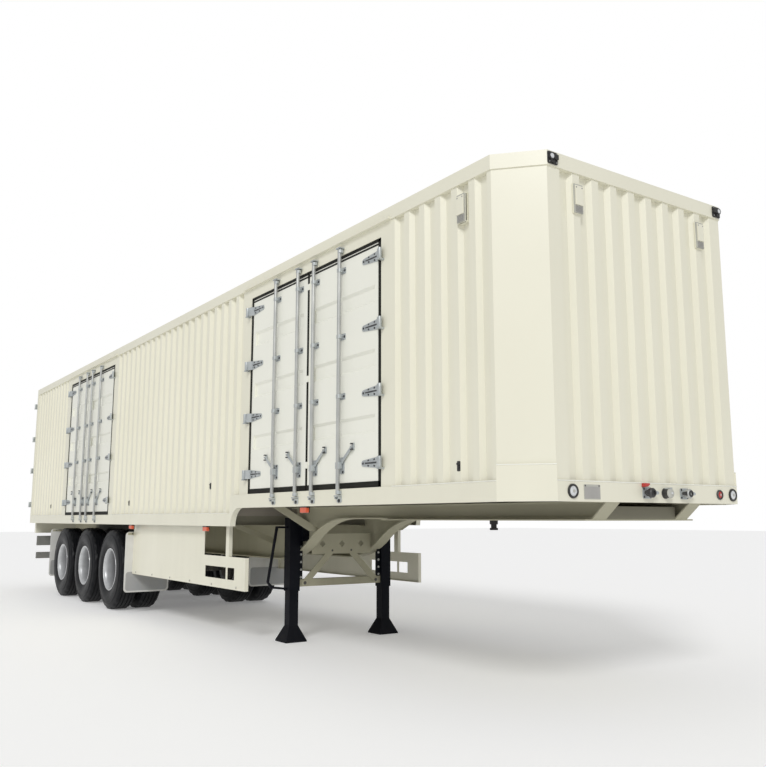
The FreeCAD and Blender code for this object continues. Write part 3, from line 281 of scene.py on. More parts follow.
dustLook = {
    "patchDetail": 6.0, "patches": (0.35, 0.7), "streakNoise": (9.0, 4.0, (1, 1, 0.12)), "streaks": (0.4, 0.75),
}


def makeDustGroup():  # road dust that settles low down, in patches and streaks
    ins = {"Color": (0.8, 0.8, 0.8, 1), "Dust": (0.35, 0.31, 0.25, 1), "Low": 0.0, "High": 1.5, "Amount": 0.3,
           "Scale": 3.0}
    group, start, end = newGroup("roadDust", ins, ("Color", "Mask"))
    given = start.outputs
    height = rangeNode(group, axesNode(group)["Z"], given["Low"], given["High"], 1.0, 0.0)
    patches = rangeNode(group, noiseNode(group, given["Scale"], dustLook["patchDetail"]), *dustLook["patches"])
    streaks = rangeNode(group, noiseNode(group, *dustLook["streakNoise"]), *dustLook["streaks"])
    mask = mathNode(group, "MULTIPLY", height, mathNode(group, "ADD", patches, streaks))
    mask = mathNode(group, "MULTIPLY", mask, given["Amount"], True)
    group.links.new(mixColor(group, mask, given["Color"], given["Dust"]), end.inputs["Color"])
    group.links.new(mask, end.inputs["Mask"])
    return group


toneLook = {"broadDetail": 4.0, "broad": (0.3, 0.7), "fineDetail": 2.0}


def makeToneGroup():  # a broad uneven tone, and a fine grain for the bump
    ins = {"Color": (0.8, 0.8, 0.8, 1), "Shade": (0.6, 0.6, 0.6, 1), "Broad": 1.0, "Fine": 60.0}
    group, start, end = newGroup("unevenTone", ins, ("Color", "Rough", "Grain"))
    given = start.outputs
    broad = rangeNode(group, noiseNode(group, given["Broad"], toneLook["broadDetail"]), *toneLook["broad"])
    grain = noiseNode(group, given["Fine"], toneLook["fineDetail"])
    group.links.new(mixColor(group, broad, given["Color"], given["Shade"]), end.inputs["Color"])
    mean = mathNode(group, "MULTIPLY", mathNode(group, "ADD", broad, grain), 0.5)
    group.links.new(mean, end.inputs["Rough"])
    group.links.new(grain, end.inputs["Grain"])
    return group


dustGroup = makeDustGroup()
toneGroup = makeToneGroup()
finishLook = {"worn": (0.2, 0.8), "dusty": 0.4, "coatRough": 0.15, "relief": 0.01}


def makeFinish(name, color, shade, rough=(0.35, 0.5), broad=0.7, fine=60.0, metal=0.0, coat=0.0, bump=0.05,
               dust=(0.35, 0.31, 0.25), dustHigh=1.6, dirt=0.2, dustScale=2.5, shine=0.5):
    material = bpy.data.materials.new(name)
    material.use_nodes = True
    tree = material.node_tree
    shader = tree.nodes["Principled BSDF"]
    tone = addNode(tree, "ShaderNodeGroup", node_tree=toneGroup)
    setInputs(tone, Color=(*color, 1), Shade=(*shade, 1), Broad=broad, Fine=fine)
    grime = addNode(tree, "ShaderNodeGroup", node_tree=dustGroup)
    setInputs(grime, Dust=(*dust, 1), High=dustHigh, Amount=dirt, Scale=dustScale)
    tree.links.new(tone.outputs["Color"], grime.inputs["Color"])
    tree.links.new(grime.outputs["Color"], shader.inputs["Base Color"])
    worn = rangeNode(tree, tone.outputs["Rough"], *finishLook["worn"], *rough)
    dusty = mathNode(tree, "MULTIPLY", grime.outputs["Mask"], finishLook["dusty"])
    tree.links.new(mathNode(tree, "ADD", worn, dusty, True), shader.inputs["Roughness"])
    setInputs(shader, Metallic=metal, Specular_IOR_Level=shine, Coat_Weight=coat,
              Coat_Roughness=finishLook["coatRough"])
    relief = addNode(tree, "ShaderNodeBump")
    setInputs(relief, Strength=bump, Distance=finishLook["relief"])
    tree.links.new(tone.outputs["Grain"], relief.inputs["Height"])
    tree.links.new(relief.outputs["Normal"], shader.inputs["Normal"])
    return material


creamPaint = makeFinish("creamPaint", (0.82, 0.8, 0.665), (0.78, 0.76, 0.625), (0.3, 0.42), coat=0.25,
                        bump=0.02, dustHigh=2.2, dirt=0.07)
doorPaint = makeFinish("doorPaint", (0.89, 0.89, 0.8), (0.85, 0.85, 0.76), (0.28, 0.4), coat=0.3, bump=0.02,
                       dustHigh=2.4, dirt=0.1)
# the underframe's cream paint as it looks in shade, a darker olive copy: painted shade
framePaint = makeFinish("framePaint", (0.46, 0.44, 0.325), (0.39, 0.375, 0.27), (0.5, 0.65),
                        dust=(0.25, 0.23, 0.17), dirt=0.3, shine=0.3)
roofPaint = makeFinish("roofPaint", (0.84, 0.82, 0.72), (0.78, 0.76, 0.66), (0.4, 0.55), dustHigh=5,
                       dirt=0.05)
galvanised = makeFinish("galvanisedSteel", (0.55, 0.58, 0.58), (0.43, 0.46, 0.47), (0.35, 0.55), broad=14,
                        fine=160, metal=0.55, bump=0.08, dustHigh=1.2, dirt=0.15)
rodPaint = makeFinish("rodSteel", (0.5, 0.51, 0.49), (0.41, 0.42, 0.41), (0.34, 0.5), broad=6, fine=120,
                      metal=0.3, bump=0.04)
legPaint = makeFinish("legPaint", (0.005, 0.006, 0.009), (0.009, 0.0095, 0.013), (0.4, 0.55), broad=3,
                      dust=(0.04, 0.037, 0.034), dustHigh=0.5, dirt=0.12, shine=0.07)
axlePaint = makeFinish("axlePaint", (0.03, 0.03, 0.03), (0.06, 0.055, 0.05), (0.5, 0.7), broad=4,
                       dustHigh=1.4, dirt=0.35)
tyreRubber = makeFinish("tyreRubber", (0.007, 0.0075, 0.009), (0.013, 0.0135, 0.015), (0.32, 0.45), broad=5,
                        fine=90, bump=0.12, dust=(0.06, 0.057, 0.053), dustHigh=0.7, dirt=0.12, dustScale=5,
                        shine=0.12)
sealRubber = makeFinish("sealRubber", (0.01, 0.01, 0.008), (0.02, 0.02, 0.016), (0.5, 0.7), broad=6,
                        dirt=0.04, shine=0.15)
rimPaint = makeFinish("rimPaint", (0.6, 0.61, 0.62), (0.5, 0.51, 0.52), (0.3, 0.42), broad=6, metal=0.35,
                      dustHigh=1.2, dirt=0.3, dust=(0.13, 0.12, 0.11), dustScale=6)
# a brighter silver for the thin ring on the rim's lip: painted highlight
lipSilver = makeFinish("lipSilver", (0.8, 0.81, 0.82), (0.68, 0.69, 0.7), (0.2, 0.3), broad=8, metal=0.4,
                       dirt=0.1)
guardPaint = makeFinish("guardPaint", (0.14, 0.15, 0.145), (0.19, 0.195, 0.185), (0.45, 0.6), broad=3,
                        dirt=0.3)
flapRubber = makeFinish("flapRubber", (0.33, 0.345, 0.35), (0.38, 0.385, 0.385), (0.5, 0.7), broad=3)
flapEdge = makeFinish("flapEdge", (0.74, 0.74, 0.71), (0.66, 0.66, 0.63), (0.45, 0.6), broad=5, dirt=0.15)
ventPlastic = makeFinish("ventPlastic", (0.5, 0.5, 0.45), (0.43, 0.43, 0.39), (0.5, 0.65), broad=5)
# an even darker copy of the frame paint for the cross members and the plate between the beams' noses: painted
# shade
nosePaint = makeFinish("nosePaint", (0.25, 0.24, 0.18), (0.21, 0.2, 0.15), (0.5, 0.65), dirt=0.1, shine=0.2)
plateGrey = makeFinish("plateGrey", (0.4, 0.39, 0.37), (0.34, 0.335, 0.32), (0.4, 0.55), broad=8)
darkSteel = makeFinish("darkSteel", (0.05, 0.052, 0.055), (0.1, 0.1, 0.1), broad=20, fine=200, metal=0.5)
blackPlastic = makeFinish("blackPlastic", (0.015, 0.015, 0.015), (0.03, 0.03, 0.03), broad=8)
orangeLens = makeFinish("orangeLens", (0.75, 0.13, 0.05), (0.62, 0.09, 0.04), (0.12, 0.25), broad=30,
                        coat=0.6)
redLens = makeFinish("redLens", (0.55, 0.03, 0.02), (0.4, 0.02, 0.015), (0.12, 0.25), broad=30, coat=0.6)
clearLens = makeFinish("clearLens", (0.75, 0.77, 0.78), (0.6, 0.62, 0.63), (0.1, 0.2), broad=40, coat=0.6)
deckPaint = makeFinish("deckPaint", (0.3, 0.27, 0.22), (0.22, 0.2, 0.17), (0.6, 0.8), broad=2)
print("finishes ready")

nodeFinishes = {
    creamPaint: ["bottom_rails", "side_wall_right", "side_wall_left", "front_wall", "corner_panels",
                 "top_rails", "tail_frame", "doorway_frames", "side_guards"],
    doorPaint: ["door_" + name for name in leafNames],
    framePaint: ["leg_bracing"],
    nosePaint: ["cross_members"],
    guardPaint: ["underrun_guard"],
    roofPaint: ["roof_sheet"],
    galvanised: ["door_lugs"],
    legPaint: ["landing_legs"],
    axlePaint: ["axles", "leaf_springs", "suspension_hangers", "brake_chambers", "air_tanks"],
    flapRubber: ["mudflaps"],
    deckPaint: ["floor_deck"],
    ventPlastic: ["vent_covers"],
    blackPlastic: ["front_couplings"],
    orangeLens: ["lamps"],
}
for material, names in nodeFinishes.items():
    for name in names:
        paint(nodes[name], material)


def copyFinish(source, name):
    material = source.copy()
    material.name = name
    return material, material.node_tree, axesNode(material.node_tree)


def coverColor(tree, mask, look):  # two uneven tones over the finish's own colour
    base = tree.nodes["Principled BSDF"].inputs["Base Color"]
    own = base.links[0].from_socket
    over = mixColor(tree, noiseNode(tree, look["grain"]), *[(*tone, 1) for tone in look["tones"]])
    tree.links.new(mixColor(tree, mask, own, over), base)


pinLook = {
    "top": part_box("coupler_plate")[1].z - 0.01, "fade": (0.002, 0.001), "metal": 0.8, "grain": 30.0,
    "tones": ((0.03, 0.03, 0.032), (0.07, 0.07, 0.07)),
}


def makePlateFinish():  # shaded frame paint above (painted shade), bare dark steel on the pin below the plate
    material, tree, axes = copyFinish(framePaint, "plateAndPin")
    low, high = (pinLook["top"] - step for step in pinLook["fade"])
    below = rangeNode(tree, axes["Z"], low, high, 1.0, 0.0)
    coverColor(tree, below, pinLook)
    metal = mathNode(tree, "MULTIPLY", below, pinLook["metal"])
    tree.links.new(metal, tree.nodes["Principled BSDF"].inputs["Metallic"])
    return material


# near-black painted shade on the main beams over the wheels
wheelShadeLook = {
    "tail": -5.25, "front": -0.9, "fade": 0.3, "amount": 0.9, "grain": 6.0,
    "tones": ((0.02, 0.021, 0.02), (0.045, 0.044, 0.038)),
}


def makeBeamFinish():  # shaded frame paint, darkened to near black between the wheels: painted shade
    material, tree, axes = copyFinish(framePaint, "beamPaint")
    tail, front, fade = (wheelShadeLook[key] for key in ("tail", "front", "fade"))
    behind = rangeNode(tree, axes["X"], tail, tail + fade)
    ahead = rangeNode(tree, axes["X"], front - fade, front, 1.0, 0.0)
    mask = mathNode(tree, "MULTIPLY", mathNode(tree, "MULTIPLY", behind, ahead), wheelShadeLook["amount"])
    coverColor(tree, mask, wheelShadeLook)
    return material


dishShadeLook = {  # deep and bright are distances from the middle: the painted shade is strongest at deep and gone at bright, and the next value sets its strength
    "deep": 1.055, "bright": 1.185, "dust": 0.85, "grain": 12.0,
    "tones": ((0.05, 0.05, 0.055), (0.11, 0.11, 0.115)),
}


def makeDishFinish():  # silver at the outer flange, darker towards the disc as painted shade deep in the dish
    material, tree, axes = copyFinish(rimPaint, "rimDish")
    out = mathNode(tree, "ABSOLUTE", axes["Y"], 0.0)
    mask = rangeNode(tree, out, dishShadeLook["deep"], dishShadeLook["bright"], dishShadeLook["dust"], 0.0)
    coverColor(tree, mask, dishShadeLook)
    return material


paint(nodes["coupler_plate"], makePlateFinish())
paint(nodes["main_beams"], makeBeamFinish())
rimDish = makeDishFinish()


view = {
    "place": (10.7723, -5.0504, 1.278), "yaw": 0.602, "pitch": 0.1581, "lens": 39.84, "clip": 200,
}
bpy.ops.object.camera_add(location=view["place"])
camera = bpy.context.object
camera.data.lens = view["lens"]
camera.data.clip_end = view["clip"]
yaw, pitch = view["yaw"], view["pitch"]
way = Vector((-math.cos(yaw) * math.cos(pitch), math.sin(yaw) * math.cos(pitch), math.sin(pitch)))
camera.rotation_mode = "QUATERNION"
camera.rotation_quaternion = way.to_track_quat("-Z", "Y")
bpy.context.scene.camera = camera

light = {
    "key": 1.3, "keyAngle": 16, "keyTurn": (math.radians(56), 0, math.radians(46)), "fill": 0.53, "gloss": 0.55,
    "floor": 0.92, "floorGlow": 0.18, "floorRough": 0.9, "floorSize": 160,
}
bpy.ops.object.light_add(type="SUN", rotation=light["keyTurn"])
sun = bpy.context.object
sun.data.energy = light["key"]
sun.data.angle = math.radians(light["keyAngle"])

world = bpy.context.scene.world or bpy.data.worlds.new("studio")
bpy.context.scene.world = world
world.use_nodes = True
tree = world.node_tree
tree.nodes.clear()
rays = tree.nodes.new("ShaderNodeLightPath")
seen = mathNode(tree, "ADD", rays.outputs["Is Camera Ray"], rays.outputs["Is Transmission Ray"], True)
background = tree.nodes.new("ShaderNodeBackground")
setInputs(background, Color=(1, 1, 1, 1))
direct = rangeNode(tree, seen, 0.0, 1.0, light["fill"], 1.0)
mirrored = mathNode(tree, "MULTIPLY", rays.outputs["Is Glossy Ray"], light["gloss"] - light["fill"])
tree.links.new(mathNode(tree, "ADD", direct, mirrored), background.inputs["Strength"])
output = tree.nodes.new("ShaderNodeOutputWorld")
tree.links.new(background.outputs[0], output.inputs["Surface"])

deselectAll()
bpy.ops.mesh.primitive_plane_add(size=light["floorSize"], location=(0, 0, 0))
floor = bpy.context.object
floor.name = "floor"
floorMaterial = bpy.data.materials.new("paleFloor")
floorMaterial.use_nodes = True
shader = floorMaterial.node_tree.nodes["Principled BSDF"]
setInputs(shader, Base_Color=(light["floor"],) * 3 + (1,), Roughness=light["floorRough"],
          Emission_Color=(1, 1, 1, 1), Emission_Strength=light["floorGlow"])
floor.data.materials.append(floorMaterial)
bpy.context.scene.view_settings.view_transform = "Standard"
print("camera and light ready")


def rounded(low, high, radius, steps=4):  # a rectangle's outline with round corners
    points = []
    for turn, (a, b) in enumerate(((high[0], high[1]), (low[0], high[1]), (low[0], low[1]), (high[0], low[1]))):
        a += -radius if turn in (0, 3) else radius
        b += -radius if turn in (0, 1) else radius
        for step in range(steps + 1):
            angle = math.pi / 2 * (turn + step / steps)
            points.append((a + radius * math.cos(angle), b + radius * math.sin(angle)))
    return points


def shifted(points, u):
    return [(u + a, b) for a, b in points]


headLook = {"sunk": 0.002, "sides": 6, "washer": (0.25, 1.45, 14)}


def addBolt(place, way, radius=0.012, height=0.008):
    place, way = Vector(place), Vector(way).normalized()
    low = place - way * headLook["sunk"]
    share, wide, sides = headLook["washer"]
    head = addRod(low, place + way * height, radius, headLook["sides"])
    washer = addRod(low, place + way * height * share, radius * wide, sides)
    return join("bolt", [head, washer])


gearLook = {"axisOut": 0.04, "gap": 0.008, "letIn": 0.001}


def leafFrame(name):  # u to the meeting edge, v out of the leaf, z up; with the leaf's extent
    joint = joints[name + "_hinge"]
    axis = Vector(joint["pos_m"])
    low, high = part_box("door_" + name)
    side = math.copysign(1, axis.y)
    if name.startswith("tail"):
        way, out, index = Vector((0, -side, 0)), Vector((-1, 0, 0)), 1
    else:
        ahead = math.copysign(1, (low.x + high.x) / 2 - axis.x)
        way, out, index = Vector((ahead, 0, 0)), Vector((0, side, 0)), 0
    near, far = sorted((abs(low[index] - axis[index]), abs(high[index] - axis[index])))
    turn = Matrix((way, out, (0, 0, 1))).transposed().to_4x4()
    place = Vector((axis.x, axis.y, 0)) - out * gearLook["axisOut"]
    return Matrix.Translation(place) @ turn, (near, far, low.z, high.z)


def onLeaf(a, b, out):  # an outline's point on the leaf's face
    return a, out - gearLook["letIn"], b


def leafBolts(u, z, table):  # across, up, out, radius and height
    return [addBolt((u + a, out, z + b), (0, 1, 0), *size) for a, b, out, *size in table]


def leafBlocks(u, z, table):  # across, up and out from low to high, and the bevel
    return [addBlock((u + a, c, z + b), (u + d, f, z + e), bevel) for a, b, c, d, e, f, bevel in table]


def leafPlate(u, z, wide, tall, corner, thick, bevel):
    return addSheet(rounded((u - wide, z - tall), (u + wide, z + tall), corner), onLeaf, thick, bevel)


hingeLook = {
    "shares": (0.096, 0.379, 0.646, 0.928), "half": 0.045, "barrel": 0.0165, "collar": (0.0168, 0.015, 0.002),
    "neck": (0.0285, 0.0395, 0.011, 0.045), "corner": 0.004, "tip": 0.252, "blade": (0.045, 0.026, 0.008),
    "slot": (0.01, 0.03, 0.006, 0.009), "ribs": (0.003, 0.016, 0.002, 0.01, 0.012, 0.0085),
    "boltShares": (0.2, 0.62, 1.0), "boltSpread": 0.58, "bolt": (0.007, 0.007, 0.005),
}


def addHinge(near, z, steel, dark):  # barrel, bent neck, and a strap with slot, ribs and bolts
    look = hingeLook
    half, out, corner = look["half"], gearLook["axisOut"], look["corner"]
    steel.append(addRod((0, out, z - half), (0, out, z + half), look["barrel"], 20, 0.002))
    radius, step, thick = look["collar"]
    for middle in (z - step, z + step):
        steel.append(addRod((0, out, middle - thick), (0, out, middle + thick), radius, 20))
    back, face, foot, run = look["neck"]
    start, tip = near + run, near + look["tip"]
    neck = [(0, back), (near, back), (start, 0.0), (start, foot), (near + corner, face), (0, face)]
    steel.append(addSheet(neck, lambda a, b, rise: (a, b, z - half + rise), 2 * half, 0.0015))
    tall, slim, thick = look["blade"]
    turns = [math.radians(turn) for turn in range(20, 170, 20)]
    strap = [(start - corner, z - tall), (tip, z - slim)]
    strap += [(tip + slim * math.sin(turn), z - slim * math.cos(turn)) for turn in turns]
    steel.append(addSheet(strap + [(tip, z + slim), (start - corner, z + tall)], onLeaf, thick, 0.002))
    first, last, wide, proud = look["slot"]
    # a dark steel strip along the strap stands for the slot: painted shade
    dark.append(addBlock((start + first, 0.0, z - wide), (tip - last, proud, z + wide), 0.001))
    startOut, startUp, endOut, endUp, short, radius = look["ribs"]
    for side in (-1, 1):
        ends = (start, startOut, z + side * startUp), (tip - short, endOut, z + side * endUp)
        steel.append(addRod(*ends, radius, 12, 0.003))
    for share in look["boltShares"]:
        spread = (tall + (slim - tall) * share) * look["boltSpread"]
        ups = (-spread, spread) if share < 1 else (0.0,)
        dark += leafBolts(start + share * (tip - start), z, [(0.0, up, *look["bolt"]) for up in ups])


rodLook = {
    "radius": 0.017, "out": 0.038, "reach": 0.046, "back": (0.146, 0.601), "guideShares": (0.385, 0.64, 0.93),
    "guide": (0.055, 0.028, 0.01, 0.006, 0.001), "saddleHalf": 0.017,
    "saddle": ((-0.024, 0.004), (-0.024, 0.044), (-0.016, 0.0535), (0.016, 0.0535), (0.024, 0.044),
               (0.024, 0.004)),
    "guideBolts": [(across, 0.0, 0.005, 0.008, 0.006) for across in (-0.04, 0.04)],
    "camTall": 0.03, "camIn": 0.001,
    "cam": ((-0.03, 0.016), (-0.014, 0.008), (0.02, 0.016), (0.024, 0.04), (0.01, 0.0535), (-0.016, 0.0535),
            (-0.026, 0.04)),
}


def addGuide(u, z, steel, dark):  # a plate with a saddle over the rod
    steel.append(leafPlate(u, z, *rodLook["guide"]))
    low, tall = z - rodLook["saddleHalf"], 2 * rodLook["saddleHalf"]
    steel.append(addSheet(shifted(rodLook["saddle"], u), lambda a, b, rise: (a, b, low + rise), tall, 0.002))
    dark += leafBolts(u, z, rodLook["guideBolts"])


leverLook = {
    "base": (0.051, 0.07, 0.012, 0.009, 0.002), "hub": [(-0.028, -0.03, 0.008, 0.028, 0.03, 0.05, 0.006)],
    "bolts": [(across, up, 0.008, 0.0075, 0.006) for up in (-0.055, 0.055) for across in (-0.036, 0.036)],
    "bend": (0.05, 0.045), "grip": (0.19, 0.15), "out": 0.018, "widths": (0.034, 0.026), "thick": 0.009,
    "catch": [(-0.018, -0.03, 0.0, 0.012, 0.03, 0.0125, 0.003)], "pin": (0.01, 0.034, 0.0085),
    "ears": [(-0.016, up - 0.006, 0.012, 0.01, up + 0.006, 0.032, 0.002) for up in (-0.024, 0.024)],
}


def addLever(u, z, steel, dark):  # base plate and hub on the rod, the bent lever and its catch
    look, out = leverLook, leverLook["out"]
    steel += [leafPlate(u, z, *look["base"]), *leafBlocks(u, z, look["hub"])]
    points = [(u, out, z), *[(u - run, out, z + rise) for run, rise in (look["bend"], look["grip"])]]
    for start, end, wide in zip(points, points[1:], look["widths"]):
        steel.append(addBar(start, end, wide, look["thick"], (0, 1, 0), 0.002))
    gripU, out, gripZ = points[-1]
    low, high, radius = look["pin"]
    steel += leafBlocks(gripU, gripZ, look["catch"])
    steel.append(addRod((gripU, low, gripZ), (gripU, high, gripZ), radius, 12, 0.002))
    dark += leafBolts(u, z, look["bolts"]) + leafBlocks(gripU, gripZ, look["ears"])


def gearParts(near, far, low, high):  # in the leaf's frame
    look = rodLook
    bottom, top = low - gearLook["gap"], high + gearLook["gap"]
    steel, rods, dark = [], [], []
    for share in hingeLook["shares"]:
        addHinge(near, bottom + share * (top - bottom), steel, dark)
    for back in look["back"]:
        u, out = far - back, look["out"]
        start, end = bottom - look["reach"], top + look["reach"]
        rods.append(addRod((u, out, start), (u, out, end), look["radius"], 20, 0.002))
        for share in look["guideShares"]:
            addGuide(u, bottom + share * (top - bottom), steel, dark)
        addLever(u, bottom + hingeLook["shares"][0] * (top - bottom), steel, dark)
        cam = shifted(look["cam"], u)
        for edge, way in ((start, 1), (end, -1)):  # one at each rod end
            place = lambda a, b, rise: (a, b, edge + way * (look["camIn"] + rise))
            steel.append(addSheet(cam, place, look["camTall"], 0.002))
    return join("gear", painted(galvanised, *steel) + painted(rodPaint, *rods) + painted(darkSteel, *dark))


sealLook = {
    "side": 0.034, "bottom": 0.042, "top": 0.022, "split": 0.011, "lap": 0.004, "hingeLap": 0.003,
    "meetLap": 0.002, "out": (-0.012, 0.005), "covers": (0.93, 0.5, 0.11), "cover": (0.02, 0.03, 0.009),
}


def sealParts(near, far, low, high):  # black seal, cream covers
    look = sealLook
    side, split, crown, lap = look["side"], look["split"], look["top"], look["lap"]
    bars = [
        ((near - look["hingeLap"], low - lap), (near + side, high + lap)),
        ((near, low - lap), (far, low + look["bottom"])),
        ((near, high - crown), (far, high + lap)),
        ((far - split, low - lap), (far + look["meetLap"], high + lap)),
        ((near + side, high - 2 * crown - lap), (far - split, high - 1.5 * crown)),
    ]
    back, face = look["out"]
    parts = painted(sealRubber, *[addBlock((a[0], back, a[1]), (b[0], face, b[1]), 0.002) for a, b in bars])
    wide, half, proud = look["cover"]
    for share in look["covers"]:
        z = low + share * (high - low)
        cover = addBlock((far - wide, 0.0, z - half), (far + look["meetLap"], proud, z + half), 0.003)
        parts += painted(doorPaint, cover)
    return join("seal", parts)


masters = {}
for name in leafNames:
    matrix, extent = leafFrame(name)
    key = tuple(round(value, 3) for value in extent)
    if key not in masters:
        masters[key] = gearParts(*extent), sealParts(*extent)
    gear, seal = masters[key]
    mount(copyPiece(gear, matrix, "doorGear_" + name), name + "_leaf", "galvanised", "gear_" + name)
    mount(copyPiece(seal, matrix, "doorSeal_" + name), name + "_leaf", "flap_grey")
for pair in masters.values():
    for master in pair:
        drop(master)
print("door gear ready", len(masters), "kinds")


keeperLook = {
    "wide": 0.036, "tall": 0.05, "corner": 0.012, "thick": 0.009, "face": 0.0145, "drop": 0.0185,
    "bolt": (0.034, 0.011, 0.008), "prong": 0.006, "spread": 0.026, "reach": 0.05, "prongZ": (0.02, 0.002),
}


def keeperParts(far, low):  # the forked keeper bolted to the rail under each lock rod
    look = keeperLook
    face, half = look["face"], look["prong"]
    parts = []
    for back in rodLook["back"]:
        u = far - back
        z = low - gearLook["gap"] - rodLook["reach"] - look["drop"]
        plate = rounded((u - look["wide"], z - look["tall"]), (u + look["wide"], z), look["corner"])
        plate = addSheet(plate, lambda a, b, out: (a, face + out, b), look["thick"], 0.002)
        parts += painted(galvanised, plate)
        down, radius, height = look["bolt"]
        parts += painted(darkSteel, addBolt((u, face + look["thick"], z - down), (0, 1, 0), radius, height))
        bottom, top = (z - step for step in look["prongZ"])
        for middle in (u - look["spread"], u + look["spread"]):
            prong = addBlock((middle - half, face, bottom), (middle + half, look["reach"], top), 0.002)
            parts += painted(galvanised, prong)
    return parts


keepers = []
for name in leafNames:
    matrix, (near, far, low, high) = leafFrame(name)
    for part in keeperParts(far, low):
        keepers.append(copyPiece(part, matrix))
        drop(part)
mount(join("rodKeepers", keepers), "chassis", "galvanised")
print("rod keepers ready")


tyreLook = {
    "steps": 96, "radius": 0.561, "centres": (0.175, -0.175), "grooves": (-0.078, -0.028, 0.028, 0.078),
    "groove": (0.005, 0.013), "shoulder": 0.112, "corner": (0.004, 0.012), "smooth": 35,
    "notch": 0.01, "notchEvery": 4, "notchLong": 2, "notchFrom": (0.1, 0.54),  # out from the middle, and radius
    "wall": [(0.262, 0.1), (0.268, 0.11), (0.285, 0.122), (0.3, 0.127), (0.304, 0.124), (0.345, 0.141),
             (0.385, 0.149), (0.425, 0.151), (0.47, 0.144), (0.474, 0.147), (0.482, 0.1455), (0.486, 0.141),
             (0.515, 0.133), (0.533, 0.127), (0.547, 0.12)],
}


def addTyre(centre):
    look = tyreLook
    top, (down, inward) = look["radius"], look["corner"]
    half = look["wall"] + [(top - down, look["shoulder"]), (top, look["shoulder"] - inward)]
    wide, deep = look["groove"]
    crown = []
    for place in reversed(look["grooves"]):
        crown += [(top, place + wide + 0.001), (top - deep, place + wide - 0.002),
                  (top - deep, place - wide + 0.002), (top, place - wide - 0.001)]
    line = half + crown + [(radius, -along) for radius, along in reversed(half)]
    piece = addSpun(line, look["steps"])
    outFrom, radiusFrom = look["notchFrom"]
    for vertex in piece.data.vertices:
        x, y, z = vertex.co
        radius = math.hypot(x, z)
        turn = round(math.atan2(z, x) / (2 * math.pi) * look["steps"]) % look["notchEvery"]
        if turn < look["notchLong"] and abs(y) > outFrom and radius > radiusFrom:
            scale = (radius - look["notch"]) / radius
            vertex.co = (x * scale, y, z * scale)
    piece.data.transform(Matrix.Translation((0, centre, 0)))
    return smoothEdges(paint(piece, tyreRubber), look["smooth"])


rimLook = {
    "lip": (0.2925, 0.3015, 0.0055), "lipSides": 10,
    "holes": 8, "holeAt": 0.19, "hole": 0.023, "holeFrom": (0.02, 0.09),
    "nuts": 10, "nutAt": 0.14, "nut": (0.05, 0.072, 0.0155), "stud": (0.05, 0.086, 0.0085),
    "hubBolt": (0.074, 0.108, 0.006, 0.005),
    "outer": [(0.298, 0.296), (0.2975, 0.302), (0.293, 0.304), (0.287, 0.3025), (0.279, 0.297), (0.271, 0.289),
              (0.2635, 0.279), (0.259, 0.268), (0.2555, 0.25), (0.252, 0.225), (0.248, 0.2), (0.244, 0.17),
              (0.241, 0.14), (0.239, 0.1), (0.228, 0.07), (0.214, 0.058), (0.16, 0.052), (0.1, 0.052),
              (0.086, 0.058), (0.086, 0.046), (0.1, 0.042), (0.214, 0.047), (0.236, 0.062), (0.246, 0.1),
              (0.247, 0.14), (0.25, 0.17), (0.2535, 0.2), (0.2572, 0.225), (0.2605, 0.262), (0.27, 0.279),
              (0.292, 0.294)],
    "inner": [(0.2572, 0.06), (0.2572, -0.282), (0.292, -0.294), (0.298, -0.298), (0.296, -0.304),
              (0.289, -0.304), (0.262, -0.292), (0.25, -0.28), (0.25, 0.06)],
    "hub": [(0.0, 0.149), (0.03, 0.149), (0.05, 0.144), (0.062, 0.134), (0.064, 0.112), (0.08, 0.11),
            (0.085, 0.105), (0.085, 0.046), (0.0, 0.046)],
    "drum": [(0.06, 0.04), (0.2, 0.04), (0.2045, 0.03), (0.2045, -0.319), (0.046, -0.319),
             (0.046, 0.04)],
}


def around(count, radius, start=0.0):  # angles and places round the axle, from a share of one step on
    angles = [2 * math.pi * (index + start) / count for index in range(count)]
    return [(angle, radius * math.cos(angle), radius * math.sin(angle)) for angle in angles]


def addRims():
    look = rimLook
    outer = addSpun(look["outer"], 64)
    low, high = look["holeFrom"]
    cutter = join("holes", [addRod((x, low, z), (x, high, z), look["hole"], 20)
                            for angle, x, z in around(look["holes"], look["holeAt"], 0.5)])
    pick(outer)
    holes = outer.modifiers.new("holes", "BOOLEAN")
    holes.operation, holes.object, holes.solver = "DIFFERENCE", cutter, "EXACT"
    bpy.ops.object.modifier_apply(modifier=holes.name)
    drop(cutter)
    # the lip ring, in a brighter silver as a painted highlight
    radius, along, thick = look["lip"]
    turns = [turn * 2 * math.pi / look["lipSides"] for turn in range(look["lipSides"])]
    lip = [(radius + thick * math.cos(turn), along + thick * math.sin(turn)) for turn in turns]
    parts = painted(rimDish, smoothEdges(outer, 35))
    for outline, steps, smooth, finish in (
        (lip, 64, 80, lipSilver), (look["inner"], 64, 35, rimPaint),
        (look["drum"], 40, 35, axlePaint), (look["hub"], 40, 35, rimPaint),
    ):
        parts += painted(finish, smoothEdges(addSpun(outline, steps), smooth))
    reach, out, radius, height = look["hubBolt"]
    for angle, x, z in around(look["nuts"], look["nutAt"]):
        for (low, high, thick), sides, bevel in ((look["nut"], 6, 0.002), (look["stud"], 10, 0.001)):
            parts += painted(rodPaint, addRod((x, low, z), (x, high, z), thick, sides, bevel))
        turn = angle + math.pi / look["nuts"]
        place = reach * math.cos(turn), out, reach * math.sin(turn)
        parts += painted(rodPaint, addBolt(place, (0, 1, 0), radius, height))
    return join("rims", parts)


